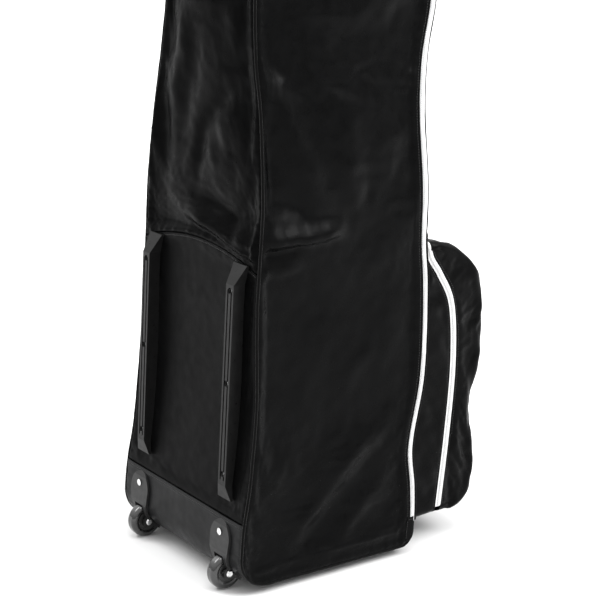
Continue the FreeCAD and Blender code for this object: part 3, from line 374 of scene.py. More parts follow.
class Finish:
    """A procedural material: colour, roughness and relief from noise in object space, in millimetres."""

    def __init__(self, name, roughness, specular=0.5, metallic=0.0, sheen=0.0, coat=0.0):
        self.material = bpy.data.materials.new(name)
        self.material.use_nodes = True
        self.tree = self.material.node_tree
        self.shader = self.tree.nodes["Principled BSDF"]
        self.shader.inputs["Roughness"].default_value = roughness
        self.shader.inputs["Specular IOR Level"].default_value = specular
        self.shader.inputs["Metallic"].default_value = metallic
        self.shader.inputs["Sheen Weight"].default_value = sheen
        self.shader.inputs["Sheen Roughness"].default_value = 0.45
        self.shader.inputs["Coat Weight"].default_value = coat
        self.shader.inputs["Coat Roughness"].default_value = 0.12
        self.place = self.tree.nodes.new("ShaderNodeTexCoord").outputs["Object"]
        self.relief = None

    def link(self, source, target):
        self.tree.links.new(source, target)

    def turned(self, degrees):
        node = self.tree.nodes.new("ShaderNodeMapping")
        node.inputs["Rotation"].default_value = (0, 0, math.radians(degrees))
        self.link(self.place, node.inputs["Vector"])
        return node.outputs["Vector"]

    def noise(self, size, detail):
        node = self.tree.nodes.new("ShaderNodeTexNoise")
        node.inputs["Scale"].default_value = 1.0 / (size * MM)
        node.inputs["Detail"].default_value = detail
        node.inputs["Roughness"].default_value = 0.55
        self.link(self.place, node.inputs["Vector"])
        return node.outputs["Fac"]

    def bands(self, pitch, axis, source=None):
        node = self.tree.nodes.new("ShaderNodeTexWave")
        node.wave_type, node.bands_direction, node.wave_profile = "BANDS", axis, "SIN"
        node.inputs["Scale"].default_value = 2 * math.pi / (20 * pitch * MM)
        self.link(source or self.place, node.inputs["Vector"])
        return node.outputs["Fac"]

    def spread(self, value, low, high):
        """Noise, which is mostly between 0.3 and 0.7, spread from low to high."""
        node = self.tree.nodes.new("ShaderNodeMapRange")
        set_range(node, 0.3, 0.7, low, high)
        self.link(value, node.inputs["Value"])
        return node.outputs["Result"]

    def times(self, a, b):
        node = self.tree.nodes.new("ShaderNodeMath")
        node.operation = "MULTIPLY"
        self.link(a, node.inputs[0])
        self.link(b, node.inputs[1])
        return node.outputs[0]

    def colours(self, dark, light, factor):
        node = self.tree.nodes.new("ShaderNodeMix")
        node.data_type = "RGBA"
        node.inputs[6].default_value = (*dark, 1)
        node.inputs[7].default_value = (*light, 1)
        self.link(factor, node.inputs[0])
        self.link(node.outputs[2], self.shader.inputs["Base Color"])
        return self

    def uneven(self, factor, low, high):
        self.link(self.spread(factor, low, high), self.shader.inputs["Roughness"])
        return self

    def bump(self, height, depth, strength=1.0):
        node = self.tree.nodes.new("ShaderNodeBump")
        node.inputs["Strength"].default_value = strength
        node.inputs["Distance"].default_value = depth * MM
        self.link(height, node.inputs["Height"])
        if self.relief:
            self.link(self.relief, node.inputs["Normal"])
        self.relief = node.outputs["Normal"]
        self.link(self.relief, self.shader.inputs["Normal"])
        return self


def grey(value, tint=(1.0, 1.0, 1.0)):
    return tuple(value * t for t in tint)


COOL = (0.97, 0.99, 1.03)


def cloth(name, dark, light, roughness, specular, pitch=0.9, flat=False):
    """Woven polyester: plain weave, faint mottling and small irregular creases."""
    look = Finish(name, roughness, specular)
    if flat:
        warp, weft = look.bands(pitch, "X"), look.bands(pitch, "Y")
    else:
        warp, weft = look.bands(pitch, "X", look.turned(45)), look.bands(pitch, "Z")
    weave = look.times(warp, weft)
    mottle = look.noise(46, 5)
    look.colours(grey(dark, COOL), grey(light, COOL), look.spread(mottle, 0, 1))
    look.uneven(look.noise(18, 3), roughness - 0.07, roughness + 0.07)
    look.bump(look.noise(60, 3), 1.6, 0.5)
    look.bump(look.noise(11, 4), 0.35, 0.5)
    look.bump(weave, 0.1, 0.35)
    return look.material


def moulded(name, dark, light, roughness, grain=0.9, depth=0.04, specular=0.5, coat=0.0):
    """Moulded plastic or rubber: fine spark-eroded grain and scuffed patches."""
    look = Finish(name, roughness, specular, coat=coat)
    look.colours(grey(dark), grey(light), look.spread(look.noise(14, 6), 0, 1))
    look.uneven(look.noise(9, 4), roughness - 0.08, roughness + 0.1)
    look.bump(look.noise(grain, 3), depth, 0.6)
    look.bump(look.noise(22, 2), 0.12, 0.35)
    return look.material


def metal(name, dark, light, roughness, pitch=0.5):
    """Plated steel or die-cast zinc with fine turning marks."""
    look = Finish(name, roughness, 0.5, metallic=1.0)
    look.colours(grey(dark), grey(light), look.spread(look.noise(3, 5), 0, 1))
    look.uneven(look.noise(1.5, 4), roughness - 0.06, roughness + 0.1)
    look.bump(look.bands(pitch, "Z"), 0.01, 0.3)
    return look.material


def woven_tape(name, dark, light, roughness, pitch, depth, specular=0.35):
    """Narrow-woven tape: ribs across its length, with a little soiling."""
    look = Finish(name, roughness, specular, sheen=0.1)
    look.colours(grey(dark), grey(light), look.spread(look.noise(9, 5), 0, 1))
    look.uneven(look.noise(5, 3), roughness - 0.08, roughness + 0.08)
    ribs = look.times(look.bands(pitch, "Z"), look.bands(pitch * 0.8, "X", look.turned(45)))
    look.bump(ribs, depth, 0.6)
    look.bump(look.noise(6, 3), 0.2, 0.4)
    return look.material


def board(name, dark, light):
    """Extruded polyethylene board with a faint haircell grain."""
    look = Finish(name, 0.5, 0.4)
    look.colours(grey(dark), grey(light), look.spread(look.noise(30, 6), 0, 1))
    look.bump(look.noise(1.8, 5), 0.08, 0.5)
    return look.material


POLYESTER = cloth("polyester", 0.0012, 0.0022, 0.30, 0.05)
# painted shade: the side panels' polyester made darker and less shiny, for the rear face only
SHADED_REAR_POLYESTER = cloth("polyester_rear_painted_shade", 0.0010, 0.0018, 0.32, 0.022)
POLYESTER_FLAT = cloth("polyester_flat", 0.0012, 0.0022, 0.30, 0.05, flat=True)
COATED = cloth("coated_cloth", 0.007, 0.010, 0.42, 0.10, pitch=1.1)
COATED_FLAT = cloth("coated_cloth_flat", 0.007, 0.010, 0.42, 0.10, pitch=1.1, flat=True)
WEAR = cloth("wear_cloth", 0.0014, 0.0024, 0.44, 0.04, pitch=1.3)
PIPING = woven_tape("corded_seam", 0.001, 0.002, 0.46, 1.2, 0.10, specular=0.03)
THREAD = woven_tape("thread", 0.012, 0.02, 0.5, 0.5, 0.05)
TAPE = woven_tape("zip_tape", 0.72, 0.80, 0.62, 0.9, 0.10)
COIL = moulded("zip_coil", 0.52, 0.62, 0.35, grain=2.0, depth=0.02)
WEBBING = woven_tape("webbing", 0.010, 0.017, 0.5, 1.6, 0.30)
RAIL = moulded("rail_plastic", 0.005, 0.008, 0.34, grain=1.1, depth=0.05, specular=0.17)
HOUSING = moulded("housing_plastic", 0.012, 0.018, 0.40, grain=1.2, depth=0.05, specular=0.3)
TYRE = moulded("tyre", 0.006, 0.010, 0.16, grain=4.0, depth=0.02, specular=0.6, coat=0.5)
HUB = moulded("hub_plastic", 0.012, 0.018, 0.3)
RUBBER = moulded("foot_rubber", 0.012, 0.02, 0.6, grain=0.8, depth=0.06)
GRIP = moulded("grip_foam", 0.014, 0.022, 0.62, grain=0.7, depth=0.12, specular=0.3)
BUCKLE = moulded("buckle_plastic", 0.014, 0.02, 0.32)
BOARD = board("board", 0.03, 0.05)
SCREW = metal("screw_steel", 0.55, 0.72, 0.22)
RIVET = metal("rivet_steel", 0.80, 0.92, 0.30)
STEEL = metal("bearing_steel", 0.62, 0.75, 0.20)
ZINC = metal("zip_metal", 0.30, 0.42, 0.26)

CAD_FINISHES = {
    "skid_rail_right": RAIL, "skid_rail_left": RAIL, "rail_screws": SCREW, "housing_rivets": RIVET,
    "wheel_housing_right": HOUSING, "wheel_housing_left": HOUSING, "tyre_right": TYRE, "tyre_left": TYRE,
    "wheel_hub_right": HUB, "wheel_hub_left": HUB,
    "wheel_bearings_right": STEEL, "wheel_bearings_left": STEEL,
    "axle_right": STEEL, "axle_left": STEEL, "foot_right": RUBBER, "foot_left": RUBBER,
    "rear_stiffener_board": BOARD, "base_stiffener_board": BOARD,
    "buckle_socket": BUCKLE, "buckle_plug": BUCKLE,
    "main_zip_slider_right": ZINC, "main_zip_slider_left": ZINC, "main_pull_tab_right": ZINC,
    "main_pull_tab_left": ZINC, "pocket_zip_slider_right": ZINC, "pocket_zip_slider_left": ZINC,
    "pocket_pull_tab_right": ZINC, "pocket_pull_tab_left": ZINC}

for node, finish in CAD_FINISHES.items():
    for place in nodes[node].material_slots:
        place.material = finish


# ---------------------------------------------------------------- cloth settling

class Settling:
    """Cloth panels that are slightly larger than their frame, settled together in one short simulation."""

    def __init__(self):
        self.panels = {}

    def add(self, name, grid, growth, pressure, cap):
        """A grid in millimetres, whose rim is held; cap is the furthest that a point may move."""
        self.panels[name] = dict(grid=grid, growth=growth, pressure=pressure, cap=cap)

    def run(self, frames=22):
        scene = bpy.context.scene
        things = {}
        for name, p in self.panels.items():
            grid = p["grid"]
            rows, columns = grid.shape[:2]
            mesh = bpy.data.meshes.new("settling_" + name)
            mesh.from_pydata((grid.reshape(-1, 3) * MM).tolist(), [], grid_faces(rows, columns).tolist())
            thing = bpy.data.objects.new("settling_" + name, mesh)
            scene.collection.objects.link(thing)
            rim = np.zeros((rows, columns), bool)
            rim[0] = rim[-1] = rim[:, 0] = rim[:, -1] = True
            group = thing.vertex_groups.new(name="held")
            group.add(np.flatnonzero(rim.ravel()).tolist(), 1.0, "REPLACE")
            cloth_modifier = thing.modifiers.new("cloth", "CLOTH")
            settings = cloth_modifier.settings
            settings.vertex_group_mass = "held"
            settings.quality = 6
            settings.mass = 0.02
            settings.tension_stiffness = settings.compression_stiffness = 25
            settings.shear_stiffness = 10
            settings.bending_stiffness = 0.6
            settings.shrink_min = -p["growth"]
            settings.effector_weights.gravity = 0.35
            settings.use_pressure = True
            settings.uniform_pressure_force = p["pressure"]
            settings.air_damping = 4.0
            cloth_modifier.collision_settings.use_collision = False
            cloth_modifier.point_cache.frame_start, cloth_modifier.point_cache.frame_end = 1, frames
            things[name] = thing
        for number in range(1, frames + 1):
            scene.frame_set(number)
        moved = {}
        graph = bpy.context.evaluated_depsgraph_get()
        for name, thing in things.items():
            grid = self.panels[name]["grid"]
            settled = thing.evaluated_get(graph).to_mesh()
            points = np.zeros(len(settled.vertices) * 3)
            settled.vertices.foreach_get("co", points)
            shift = points.reshape(grid.shape) / MM - grid
            size = np.linalg.norm(shift, axis=2, keepdims=True)
            cap = self.panels[name]["cap"]
            moved[name] = shift * np.where(size > cap, cap / np.maximum(size, 1e-9), 1.0)
            thing.evaluated_get(graph).to_mesh_clear()
            bpy.data.objects.remove(thing)
        scene.frame_set(1)
        return moved


def refine(field, rows, columns):
    """A coarse field over a grid brought to a finer grid, smoothly."""
    for axis, count in ((0, rows), (1, columns)):
        old = np.linspace(0, 1, field.shape[axis])
        new = np.linspace(0, 1, count)
        moved = np.moveaxis(field, axis, 0)
        flat = moved.reshape(len(old), -1)
        slope = np.gradient(flat, old, axis=0)
        i = np.clip(np.searchsorted(old, new, side="right") - 1, 0, len(old) - 2)
        span = (old[i + 1] - old[i])[:, None]
        t = ((new - old[i]) / (old[i + 1] - old[i]))[:, None]
        fine = ((2 * t**3 - 3 * t**2 + 1) * flat[i] + (t**3 - 2 * t**2 + t) * span * slope[i]
                + (3 * t**2 - 2 * t**3) * flat[i + 1] + (t**3 - t**2) * span * slope[i + 1])
        field = np.moveaxis(fine.reshape((count,) + moved.shape[1:]), 0, axis)
    return field


settling = Settling()

# ---------------------------------------------------------------- panels

HEM = 3.5
ZIP_FACE = 0.8
HEM_LIFT = 0.9
# distances of the stitching from each hem's edge
HEM_STITCH, FLAP_STITCH, KICK_STITCH, ARCH_STITCH, POCKET_STITCH = 5.0, HEM + 4.5, 4.5, 4.0, 3.4


def spaced(count, crowd=0.6):
    """Shares from 0 to 1, closer together at both ends."""
    t = np.linspace(0, 1, count)
    return t - crowd * np.sin(2 * math.pi * t) / (2 * math.pi)


def at_shares(points, shares):
    """The points that are the given shares of the way along a line."""
    along = lengths(points)
    wanted = shares * along[-1]
    return np.column_stack([np.interp(wanted, along, points[:, k]) for k in range(points.shape[1])])


def side_outline():
    """A side panel's four edges as (y, z) points: bottom, top, front and rear."""
    hem = ZIP_WIDTH - HEM
    toe_start = 180 + math.degrees(math.acos((TOE - hem) / (TOE - SEAM)))
    bottom = np.concatenate((arc(toe_y, toe_z, TOE - SEAM, toe_start, 270),
                             arc(heel_y, heel_z, HEEL - SEAM, 270, 315)))
    rear = np.concatenate((arc(heel_y, heel_z, HEEL - SEAM, 315, 360),
                           run(lambda z: rear_at(z) - SEAM, heel_z + 2, crown_z - 2),
                           arc(crown_y, crown_z, CROWN - SEAM, 0, 45)))
    hood_y = np.linspace(float(front_at(HOOD_FRONT)) + hem, crown_y, 30)
    top = np.concatenate((np.column_stack((hood_y, hood_height(hood_y) - SEAM)),
                          arc(crown_y, crown_z, CROWN - SEAM, 90, 45)))
    front = run(lambda z: front_at(z) + hem, bottom[0][1], top[0][1])
    return bottom, top, front, rear


def side_base(side, rows, columns, crowd=(0.4, 0.8)):
    """A side panel without its folds."""
    u, v = spaced(columns, crowd[1]), spaced(rows, crowd[0])
    bottom, top, front, rear = side_outline()
    flat = coons_at(at_shares(bottom, u), at_shares(top, u), at_shares(front, v), at_shares(rear, v), u, v)
    y, z = flat[..., 0], flat[..., 1]
    swell = SIDE_BULGE * bulge_weight(z) * np.sin(math.pi * u)[None, :]
    return np.stack((side * (half_at(z) + swell), y, z), axis=-1)


def coons_at(bottom, top, front, rear, u, v):
    """The smooth patch between four edges, at the shares u along the bottom and v up the front."""
    u, v = u[None, :, None], v[:, None, None]
    return ((1 - v) * bottom[None] + v * top[None] + (1 - u) * front[:, None] + u * rear[:, None]
            - (1 - u) * (1 - v) * bottom[0] - u * (1 - v) * bottom[-1]
            - (1 - u) * v * top[0] - u * v * top[-1])


def rear_base(low, high, rows, columns, bulge, crowd=(0.6, 0.6)):
    """A panel on the rear face between two seams given as heights over x."""
    s, v = 2 * spaced(columns, crowd[1]) - 1, spaced(rows, crowd[0])[:, None]
    reach = half_at(low(0.0) + v * (high(0.0) - low(0.0))) - SEAM
    x = s[None, :] * reach
    z = low(x) + v * (high(x) - low(x))
    x = s[None, :] * (half_at(z) - SEAM)
    y = rear_at(z) + bulge * bulge_weight(z) * (1 - (x / half_at(z)) ** 2)
    return np.stack((x, y, z), axis=-1)


def strip_base(line, columns, crowd=0.7):
    """A panel across the bag along an outline of (y, z) points."""
    s = 2 * spaced(columns, crowd) - 1
    reach = half_at(line[:, 1]) - SEAM
    x = s[None, :] * reach[:, None]
    y, z = (np.broadcast_to(line[:, k:k + 1], x.shape) for k in (0, 1))
    return np.stack((x, y, z), axis=-1)


def rim_gaps(grid):
    """Each point's distance along the grid from its first and last row, and first and last column."""
    down = np.linalg.norm(np.diff(grid, axis=0), axis=2)
    over = np.linalg.norm(np.diff(grid, axis=1), axis=2)
    rows = np.concatenate((np.zeros((1, grid.shape[1])), np.cumsum(down, axis=0)))
    columns = np.concatenate((np.zeros((grid.shape[0], 1)), np.cumsum(over, axis=1)), axis=1)
    return rows, rows[-1:] - rows, columns, columns[:, -1:] - columns


def tuck(gap, depth=2.3, width=3.6):
    """Cloth turning in to a corded seam."""
    return -depth * np.exp(-(gap / width) ** 1.5)


def pucker(gap, along, seed, height=0.5, pitch=15.0):
    """Small gathers across a seam, dying away from it."""
    rng = np.random.default_rng(seed)
    phase = rng.uniform(0, 6.28, 3)
    turns = 2 * math.pi * along / pitch
    wave = (np.sin(turns + phase[0]) + 0.7 * np.sin(turns / 1.7 + phase[1])
            + 0.5 * np.sin(turns / 0.63 + phase[2]))
    return height * wave * np.exp(-(gap / 16) ** 1.2) * (1 - np.exp(-(gap / 3) ** 2))


def hem_line(gap, at=HEM_STITCH, depth=0.6):
    """The groove that a row of stitching pulls into a hem."""
    return -depth * np.exp(-((gap - at) / 1.8) ** 2)


class Panel:
    """A cloth panel: base grid, settling, relief along its normals, then a shell with thickness."""

    def __init__(self, name, base, coarse=None, core=CORE, growth=0.0, pressure=0.0, cap=0.0):
        self.name, self.base, self.core = name, base, core
        self.normals, self.facing = grid_normals(base, core)
        self.gaps = rim_gaps(base)
        self.relief = np.zeros(base.shape[:2])
        self.grid = base
        if coarse is not None:
            settling.add(name, coarse, growth, pressure, cap)

    def place(self, moved):
        """The finished surface: the base moved by what settled and by the relief."""
        grid = self.base + self.normals * self.relief[..., None]
        if self.name in moved:
            shift = refine(moved[self.name], *self.base.shape[:2])
            near = np.minimum.reduce(self.gaps)[..., None]
            grid = grid + shift * smooth(near / 22)
        self.grid = grid
        self.normals, self.facing = grid_normals(grid, self.core)

    def build(self, material, body, stands_for, slot, loop=False):
        self.piece = shell(self.name, self.grid, self.normals, self.facing, CLOTH, material, loop=loop,
                           body=body, stands_for=stands_for, slot=slot)


def thin(grid, rows, columns):
    """A grid with fewer rows and columns."""
    i = np.unique(np.linspace(0, grid.shape[0] - 1, rows).round().astype(int))
    j = np.unique(np.linspace(0, grid.shape[1] - 1, columns).round().astype(int))
    return grid[np.ix_(i, j)]


# folds of the right side, as (y, z) lines with a width and a height; the left side has its own
SIDE_FOLDS = {
    "right": [
        ([(222, 536), (176, 541), (120, 544), (70, 549), (30, 543)], 9, 13.0, 2.2),
        ([(214, 606), (150, 600), (100, 590)], 20, -4.5),
        ([(212, 527), (160, 532), (110, 536)], 9, -4.5),
        ([(214, 497), (160, 499), (112, 507)], 8, 5.0, 1.8),
        ([(197, 840), (176, 770), (150, 720), (126, 660), (104, 610), (76, 573)], 24, 9.0),
        ([(214, 760), (196, 690), (180, 640), (160, 612)], 22, -4.5),
        ([(52, 760), (40, 700), (36, 620), (18, 545)], 26, 3.5),
        ([(16, 740), (2, 640), (-16, 560)], 24, -3.0),
        ([(165, 44), (120, 92), (84, 130), (10, 205), (-66, 250)], 18, 5.0),
        ([(120, 44), (70, 96), (14, 150), (-50, 200)], 18, -4.2),
        ([(70, 34), (30, 76), (-6, 112), (-70, 166)], 16, 4.6),
        ([(200, 96), (150, 150), (90, 215), (30, 268)], 26, -2.6),
        ([(60, 292), (32, 320), (0, 348), (-40, 372)], 20, 2.8),
        ([(150, 250), (110, 300), (84, 380), (70, 440)], 34, 2.4),
        ([(-30, 300), (-50, 380), (-62, 470)], 26, 2.2),
        ([(130, 960), (90, 900), (60, 820)], 34, 4.0),
        ([(40, 1060), (10, 980), (0, 900)], 30, -3.0)],
    "left": [
        ([(206, 552), (150, 548), (96, 556), (40, 545)], 17, 5.0),
        ([(200, 588), (130, 584)], 18, -3.5),
        ([(190, 830), (150, 740), (120, 650), (90, 590)], 30, 5.0),
        ([(60, 790), (40, 700), (30, 600)], 28, 3.0),
        ([(150, 60), (90, 130), (20, 200), (-50, 240)], 22, 3.2),
        ([(90, 50), (30, 110), (-40, 165)], 20, -2.8),
        ([(70, 300), (20, 350), (-30, 385)], 24, 2.6),
        ([(120, 940), (80, 860), (60, 780)], 34, 4.0),
        ([(20, 1060), (0, 960)], 30, -3.0)]}

panels = {}
for name, side in SIDES:
    base = side_base(side, 330, 112)
    coarse = side_base(side, 150, 42, (0.0, 0.0))
    panel = Panel("side_panel_" + name + "_cloth", base, coarse, growth=0.004, pressure=0.2, cap=7.0)
    y, z = base[..., 1], base[..., 2]
    low, high, front, rear = panel.gaps
    seed = 11 if side < 0 else 37
    for crease in SIDE_FOLDS[name]:
        panel.relief += fold(y, z, *crease)
    panel.relief += 1.3 * waves(y, z * 0.7, 150, seed) + 0.35 * waves(y, z, 34, seed + 1)
    corded = np.minimum(np.minimum(low, high), rear)
    panel.relief *= smooth(np.minimum(np.minimum(np.minimum(low, high), front) / 26, rear / 11))
    panel.relief += tuck(corded) + pucker(rear, z, seed + 2, 0.55) + pucker(low, y, seed + 3, 0.35)
    panel.relief += HEM_LIFT * smooth((16 - front) / 4) + hem_line(front)
    panel.relief += pucker(front, z, seed + 4, 0.35, 19)
    panels["side_" + name] = panel

# folds of the rear face above the wear panel, as (x, z) lines
REAR_FOLDS = [
    ([(52, 560), (0, 552), (-36, 545), (-100, 530), (-180, 516)], 8, 12.0, 2.6),
    ([(-90, 540), (-130, 540), (-180, 530)], 9, 5.0, 3.6),
    ([(10, 590), (-30, 588), (-62, 582), (-95, 572), (-140, 585), (-168, 606)], 14, -5.0),
    ([(-6, 620), (-50, 640), (-100, 650), (-150, 640)], 30, 4.5),
    ([(-104, 766), (-60, 740), (-30, 716), (-2, 684), (8, 640), (12, 590)], 15, -5.5),
    ([(-130, 700), (-80, 700), (-40, 680)], 34, 5.0),
    ([(64, 880), (56, 820), (84, 760), (104, 700)], 24, 5.0),
    ([(20, 870), (16, 800), (40, 740), (52, 680), (48, 600)], 22, -4.0),
    ([(-70, 890), (-84, 830), (-96, 790)], 24, 4.0),
    ([(132, 780), (140, 700), (146, 620), (146, 560)], 18, 4.5),
    ([(112, 740), (110, 660), (100, 570)], 18, -3.5),
    ([(-20, 1020), (0, 940), (30, 890)], 30, 3.5),
    ([(-60, 1100), (-50, 1000)], 30, -3.0)]


def above_arch(x):
    return arch_at(x) + 0.4


def hood_seam(x):
    return HOOD_START + 0 * x


def above_kick(x):
    return KICK_TOP + 0.4 + 0 * x


rear_upper = Panel("rear_upper_cloth", rear_base(above_arch, hood_seam, 230, 110, REAR_BULGE),
                   rear_base(above_arch, hood_seam, 84, 42, REAR_BULGE, (0, 0)),
                   growth=0.003, pressure=0.2, cap=6.0)
x, z = rear_upper.base[..., 0], rear_upper.base[..., 2]
for crease in REAR_FOLDS:
    rear_upper.relief += fold(x, z, *crease)
rear_upper.relief += 1.4 * waves(x, z * 0.7, 130, 61) + 0.2 * waves(x, z, 34, 62)
low, high, left, right = rear_upper.gaps
corded = np.minimum(left, right)
rear_upper.relief *= smooth(np.minimum(corded / 12, np.minimum(low / 10, high / 20)))
rear_upper.relief += tuck(corded) + pucker(corded, z, 63) + tuck(low, 1.4, 2.5) + pucker(low, x, 64, 0.5, 22)
rear_upper.relief += 1.2 * smooth((14 - low) / 8) * smooth(low / 3)
panels["rear_upper"] = rear_upper

rear_wear = Panel("rear_wear_cloth", rear_base(above_kick, arch_at, 130, 96, 0),
                  rear_base(above_kick, arch_at, 50, 44, 0, (0, 0)),
                  growth=0.002, pressure=0.1, cap=2.5)
x, z = rear_wear.base[..., 0], rear_wear.base[..., 2]
low, high, left, right = rear_wear.gaps
corded = np.minimum(left, right)
rear_wear.relief += 0.5 * waves(x, z * 0.5, 110, 71) + 0.15 * waves(x, z, 26, 72)
rear_wear.relief *= smooth(np.minimum(corded, np.minimum(low, high)) / 30)
rear_wear.relief += tuck(corded) + pucker(corded, z, 73, 0.4) + tuck(low, 1.2, 2.0)
rear_wear.relief += hem_line(high, ARCH_STITCH, 0.5)
rear_wear.relief += pucker(high, x, 74, 0.3, 20)
panels["rear_wear"] = rear_wear

kick_line = np.concatenate((arc(heel_y, heel_z, HEEL, 270, 360, 60), run(rear_at, heel_z + 1, KICK_TOP, 1.6)))
kick = Panel("rear_kick_cloth", strip_base(kick_line, 150), core=np.array([0, 120, 100.0]))
x, z = kick.base[..., 0], kick.base[..., 2]
low, high, left, right = kick.gaps
corded = np.minimum(left, right)
kick.relief += 0.5 * waves(x, z + kick.base[..., 1], 90, 81) + 0.12 * waves(x, z, 20, 82)
kick.relief *= smooth(corded / 20)
kick.relief += tuck(corded) + pucker(corded, z, 83, 0.4)
kick.relief += smooth((9 - high) / 2) + hem_line(high, KICK_STITCH, 0.5)
panels["kick"] = kick

base_line = np.concatenate(([[toe_y - TOE, ZIP_BOTTOM - 1.4], [toe_y - TOE, 46]],
                            arc(toe_y, toe_z, TOE, 180, 270, 14),
                            np.column_stack((np.linspace(toe_y + 4, heel_y, 60), np.full(60, BOTTOM)))))
base_panel = Panel("base_cloth", strip_base(base_line, 80), core=np.array([0, 60, 100.0]))
x, y = base_panel.base[..., 0], base_panel.base[..., 1]
low, high, left, right = base_panel.gaps
corded = np.minimum(left, right)
base_panel.relief += 0.3 * waves(x, y, 80, 91) * smooth(np.minimum(corded, low) / 20)
base_panel.relief += np.maximum(tuck(corded, 1.6), -1.6)
panels["base"] = base_panel

hood_y = np.linspace(crown_y, float(front_at(HOOD_FRONT)) + ZIP_WIDTH - HEM, 70)
hood_line = np.concatenate((run(rear_at, HOOD_START + 0.4, crown_z - 1, 3),
                            arc(crown_y, crown_z, CROWN, 0, 90, 50),
                            np.column_stack((hood_y, hood_height(hood_y)))[1:]))
hood = Panel("hood_cloth", strip_base(hood_line, 90), thin(strip_base(hood_line, 40, 0.0), 46, 40),
             core=np.array([0, 40, 1100.0]), growth=0.004, pressure=0.25, cap=5.0)
x, y = hood.base[..., 0], hood.base[..., 1] - hood.base[..., 2]
low, high, left, right = hood.gaps
corded = np.minimum(left, right)
hood.relief += 1.2 * waves(x, y, 110, 101) + 0.35 * waves(x, y, 28, 102)
from_patch = np.maximum(np.abs(np.abs(x) - 60), np.abs(hood.base[..., 1] - 45))
patch_room = np.where(hood.base[..., 2] > 1200, smooth((from_patch - 16) / 30), 1)
hood.relief *= smooth(np.minimum(corded, np.minimum(low, high)) / 24) * patch_room
hood.relief += tuck(corded) + pucker(corded, y, 103, 0.5)
hood.relief += HEM_LIFT * smooth((16 - high) / 4) + hem_line(high)
hood.relief += tuck(low, 1.2, 2.5)
panels["hood"] = hood


def front_base(rows, columns, crowd):
    """The front panel: its side edges and its top edge turn over onto the zip's tape."""
    wrap = 0.6
    rise = HOOD_FRONT
    h = ZIP_BOTTOM + (rise + wrap - ZIP_BOTTOM) * spaced(rows, crowd[0])
    z = np.minimum(h, rise)[:, None]
    over = np.maximum(h - rise, 0)[:, None]
    half = half_at(z)
    c = (2 * spaced(columns, crowd[1]) - 1)[None, :] * (half + wrap)
    x = np.clip(c, -half, half)
    turn = np.maximum(np.abs(c) - half, over)
    swell = FRONT_BULGE * bulge_weight(z) * (1 - (x / half) ** 2)
    y = front_at(z) - swell + turn
    reach = np.where(np.abs(c) > half, 0.1, 0.0)
    lift = np.where(over > 0, HEM_LIFT * 0.5, 0.0)
    return np.stack((x + np.sign(x) * reach, y, z + lift + 0 * x), axis=-1)


FRONT_FOLDS = [
    ([(-150, 560), (-60, 552), (60, 556), (150, 566)], 16, 4.0),
    ([(-60, 900), (-40, 780), (-70, 660)], 34, -4.0),
    ([(50, 1000), (64, 860), (40, 720)], 36, 5.0),
    ([(-20, 1160), (-10, 1050), (-30, 930)], 34, 4.0),
    ([(-100, 760), (-110, 660), (-120, 590)], 24, 3.5),
    ([(100, 700), (116, 640), (124, 580)], 24, -3.5)]

front = Panel("front_cloth", front_base(300, 104, (0.35, 0.85)), front_base(130, 40, (0.0, 0.0)),
              growth=0.005, pressure=0.2, cap=7.0)
x, z = front.base[..., 0], front.base[..., 2]
for crease in FRONT_FOLDS:
    front.relief += fold(x, z, *crease)
front.relief += 1.4 * waves(x, z * 0.7, 140, 111) + 0.35 * waves(x, z, 32, 112)
low, high, left, right = front.gaps
rim = np.minimum(np.minimum(left, right), np.minimum(low, high))
behind_pocket = smooth((z - POCKET_HIGH) / 40)
front.relief *= smooth((rim - HEM) / 24) * behind_pocket
front.relief -= 1.2 * (1 - behind_pocket)
front.relief += hem_line(np.minimum(left, right), FLAP_STITCH) * smooth((z - FOLD) / 12)
panels["front"] = front

# ---------------------------------------------------------------- front pocket

POCKET_ZIP = np.array([  # y and height
    (-175, 38), (-188, 180), (-194, 300), (-185, 400), (-157, 454), (-137, 482), (-129, 514)], float)


def pocket_zip_y(z):
    """y of the pocket zip's middle line at a height."""
    heights = POCKET_ZIP[:, 1]
    fine = refine(POCKET_ZIP, 60, 2)
    return np.interp(np.clip(z, heights[0], heights[-1]), fine[:, 1], fine[:, 0])


def zip_edge(offset, count, low, high):
    """The pocket zip's line moved forwards by offset, as (y, z) points between two heights."""
    z = np.linspace(low - 12, high + 12, 160)
    y = pocket_zip_y(z)
    ahead = unit(np.column_stack((np.gradient(y), np.gradient(z))))
    moved = np.column_stack((y - ahead[:, 1] * offset, z + ahead[:, 0] * offset))
    heights = np.linspace(low, high, count)
    return np.column_stack((np.interp(heights, moved[:, 1], moved[:, 0]), heights))


def lid_outline(start_y, end_y, inset=0.0):
    """The pocket's (y, z) outline in front of the zip: bottom, toe, front, shoulder and top."""
    low, high, front = POCKET_LOW + inset, POCKET_HIGH - inset, POCKET_FRONT + inset
    toe, shoulder = POCKET_TOE - inset, POCKET_SHOULDER - inset
    centre_low = (POCKET_FRONT + POCKET_TOE, POCKET_LOW + POCKET_TOE)
    centre_high = (POCKET_FRONT + POCKET_SHOULDER, POCKET_HIGH - POCKET_SHOULDER)
    z = np.linspace(centre_low[1], centre_high[1], 40)
    hollow = 7.0 * np.exp(-((z - 212) / 62) ** 2) - 1.0
    return np.concatenate(([[start_y, low]], arc(*centre_low, toe, 270, 180, 16),
                           np.column_stack((front + hollow, z))[1:-1],
                           arc(*centre_high, shoulder, 180, 90, 24), [[end_y, high]]))


ZIP_EDGE = 6.0
LID_ROWS, LID_SIDE, LID_TURN, LID_FACE = 190, 22, 8, 84


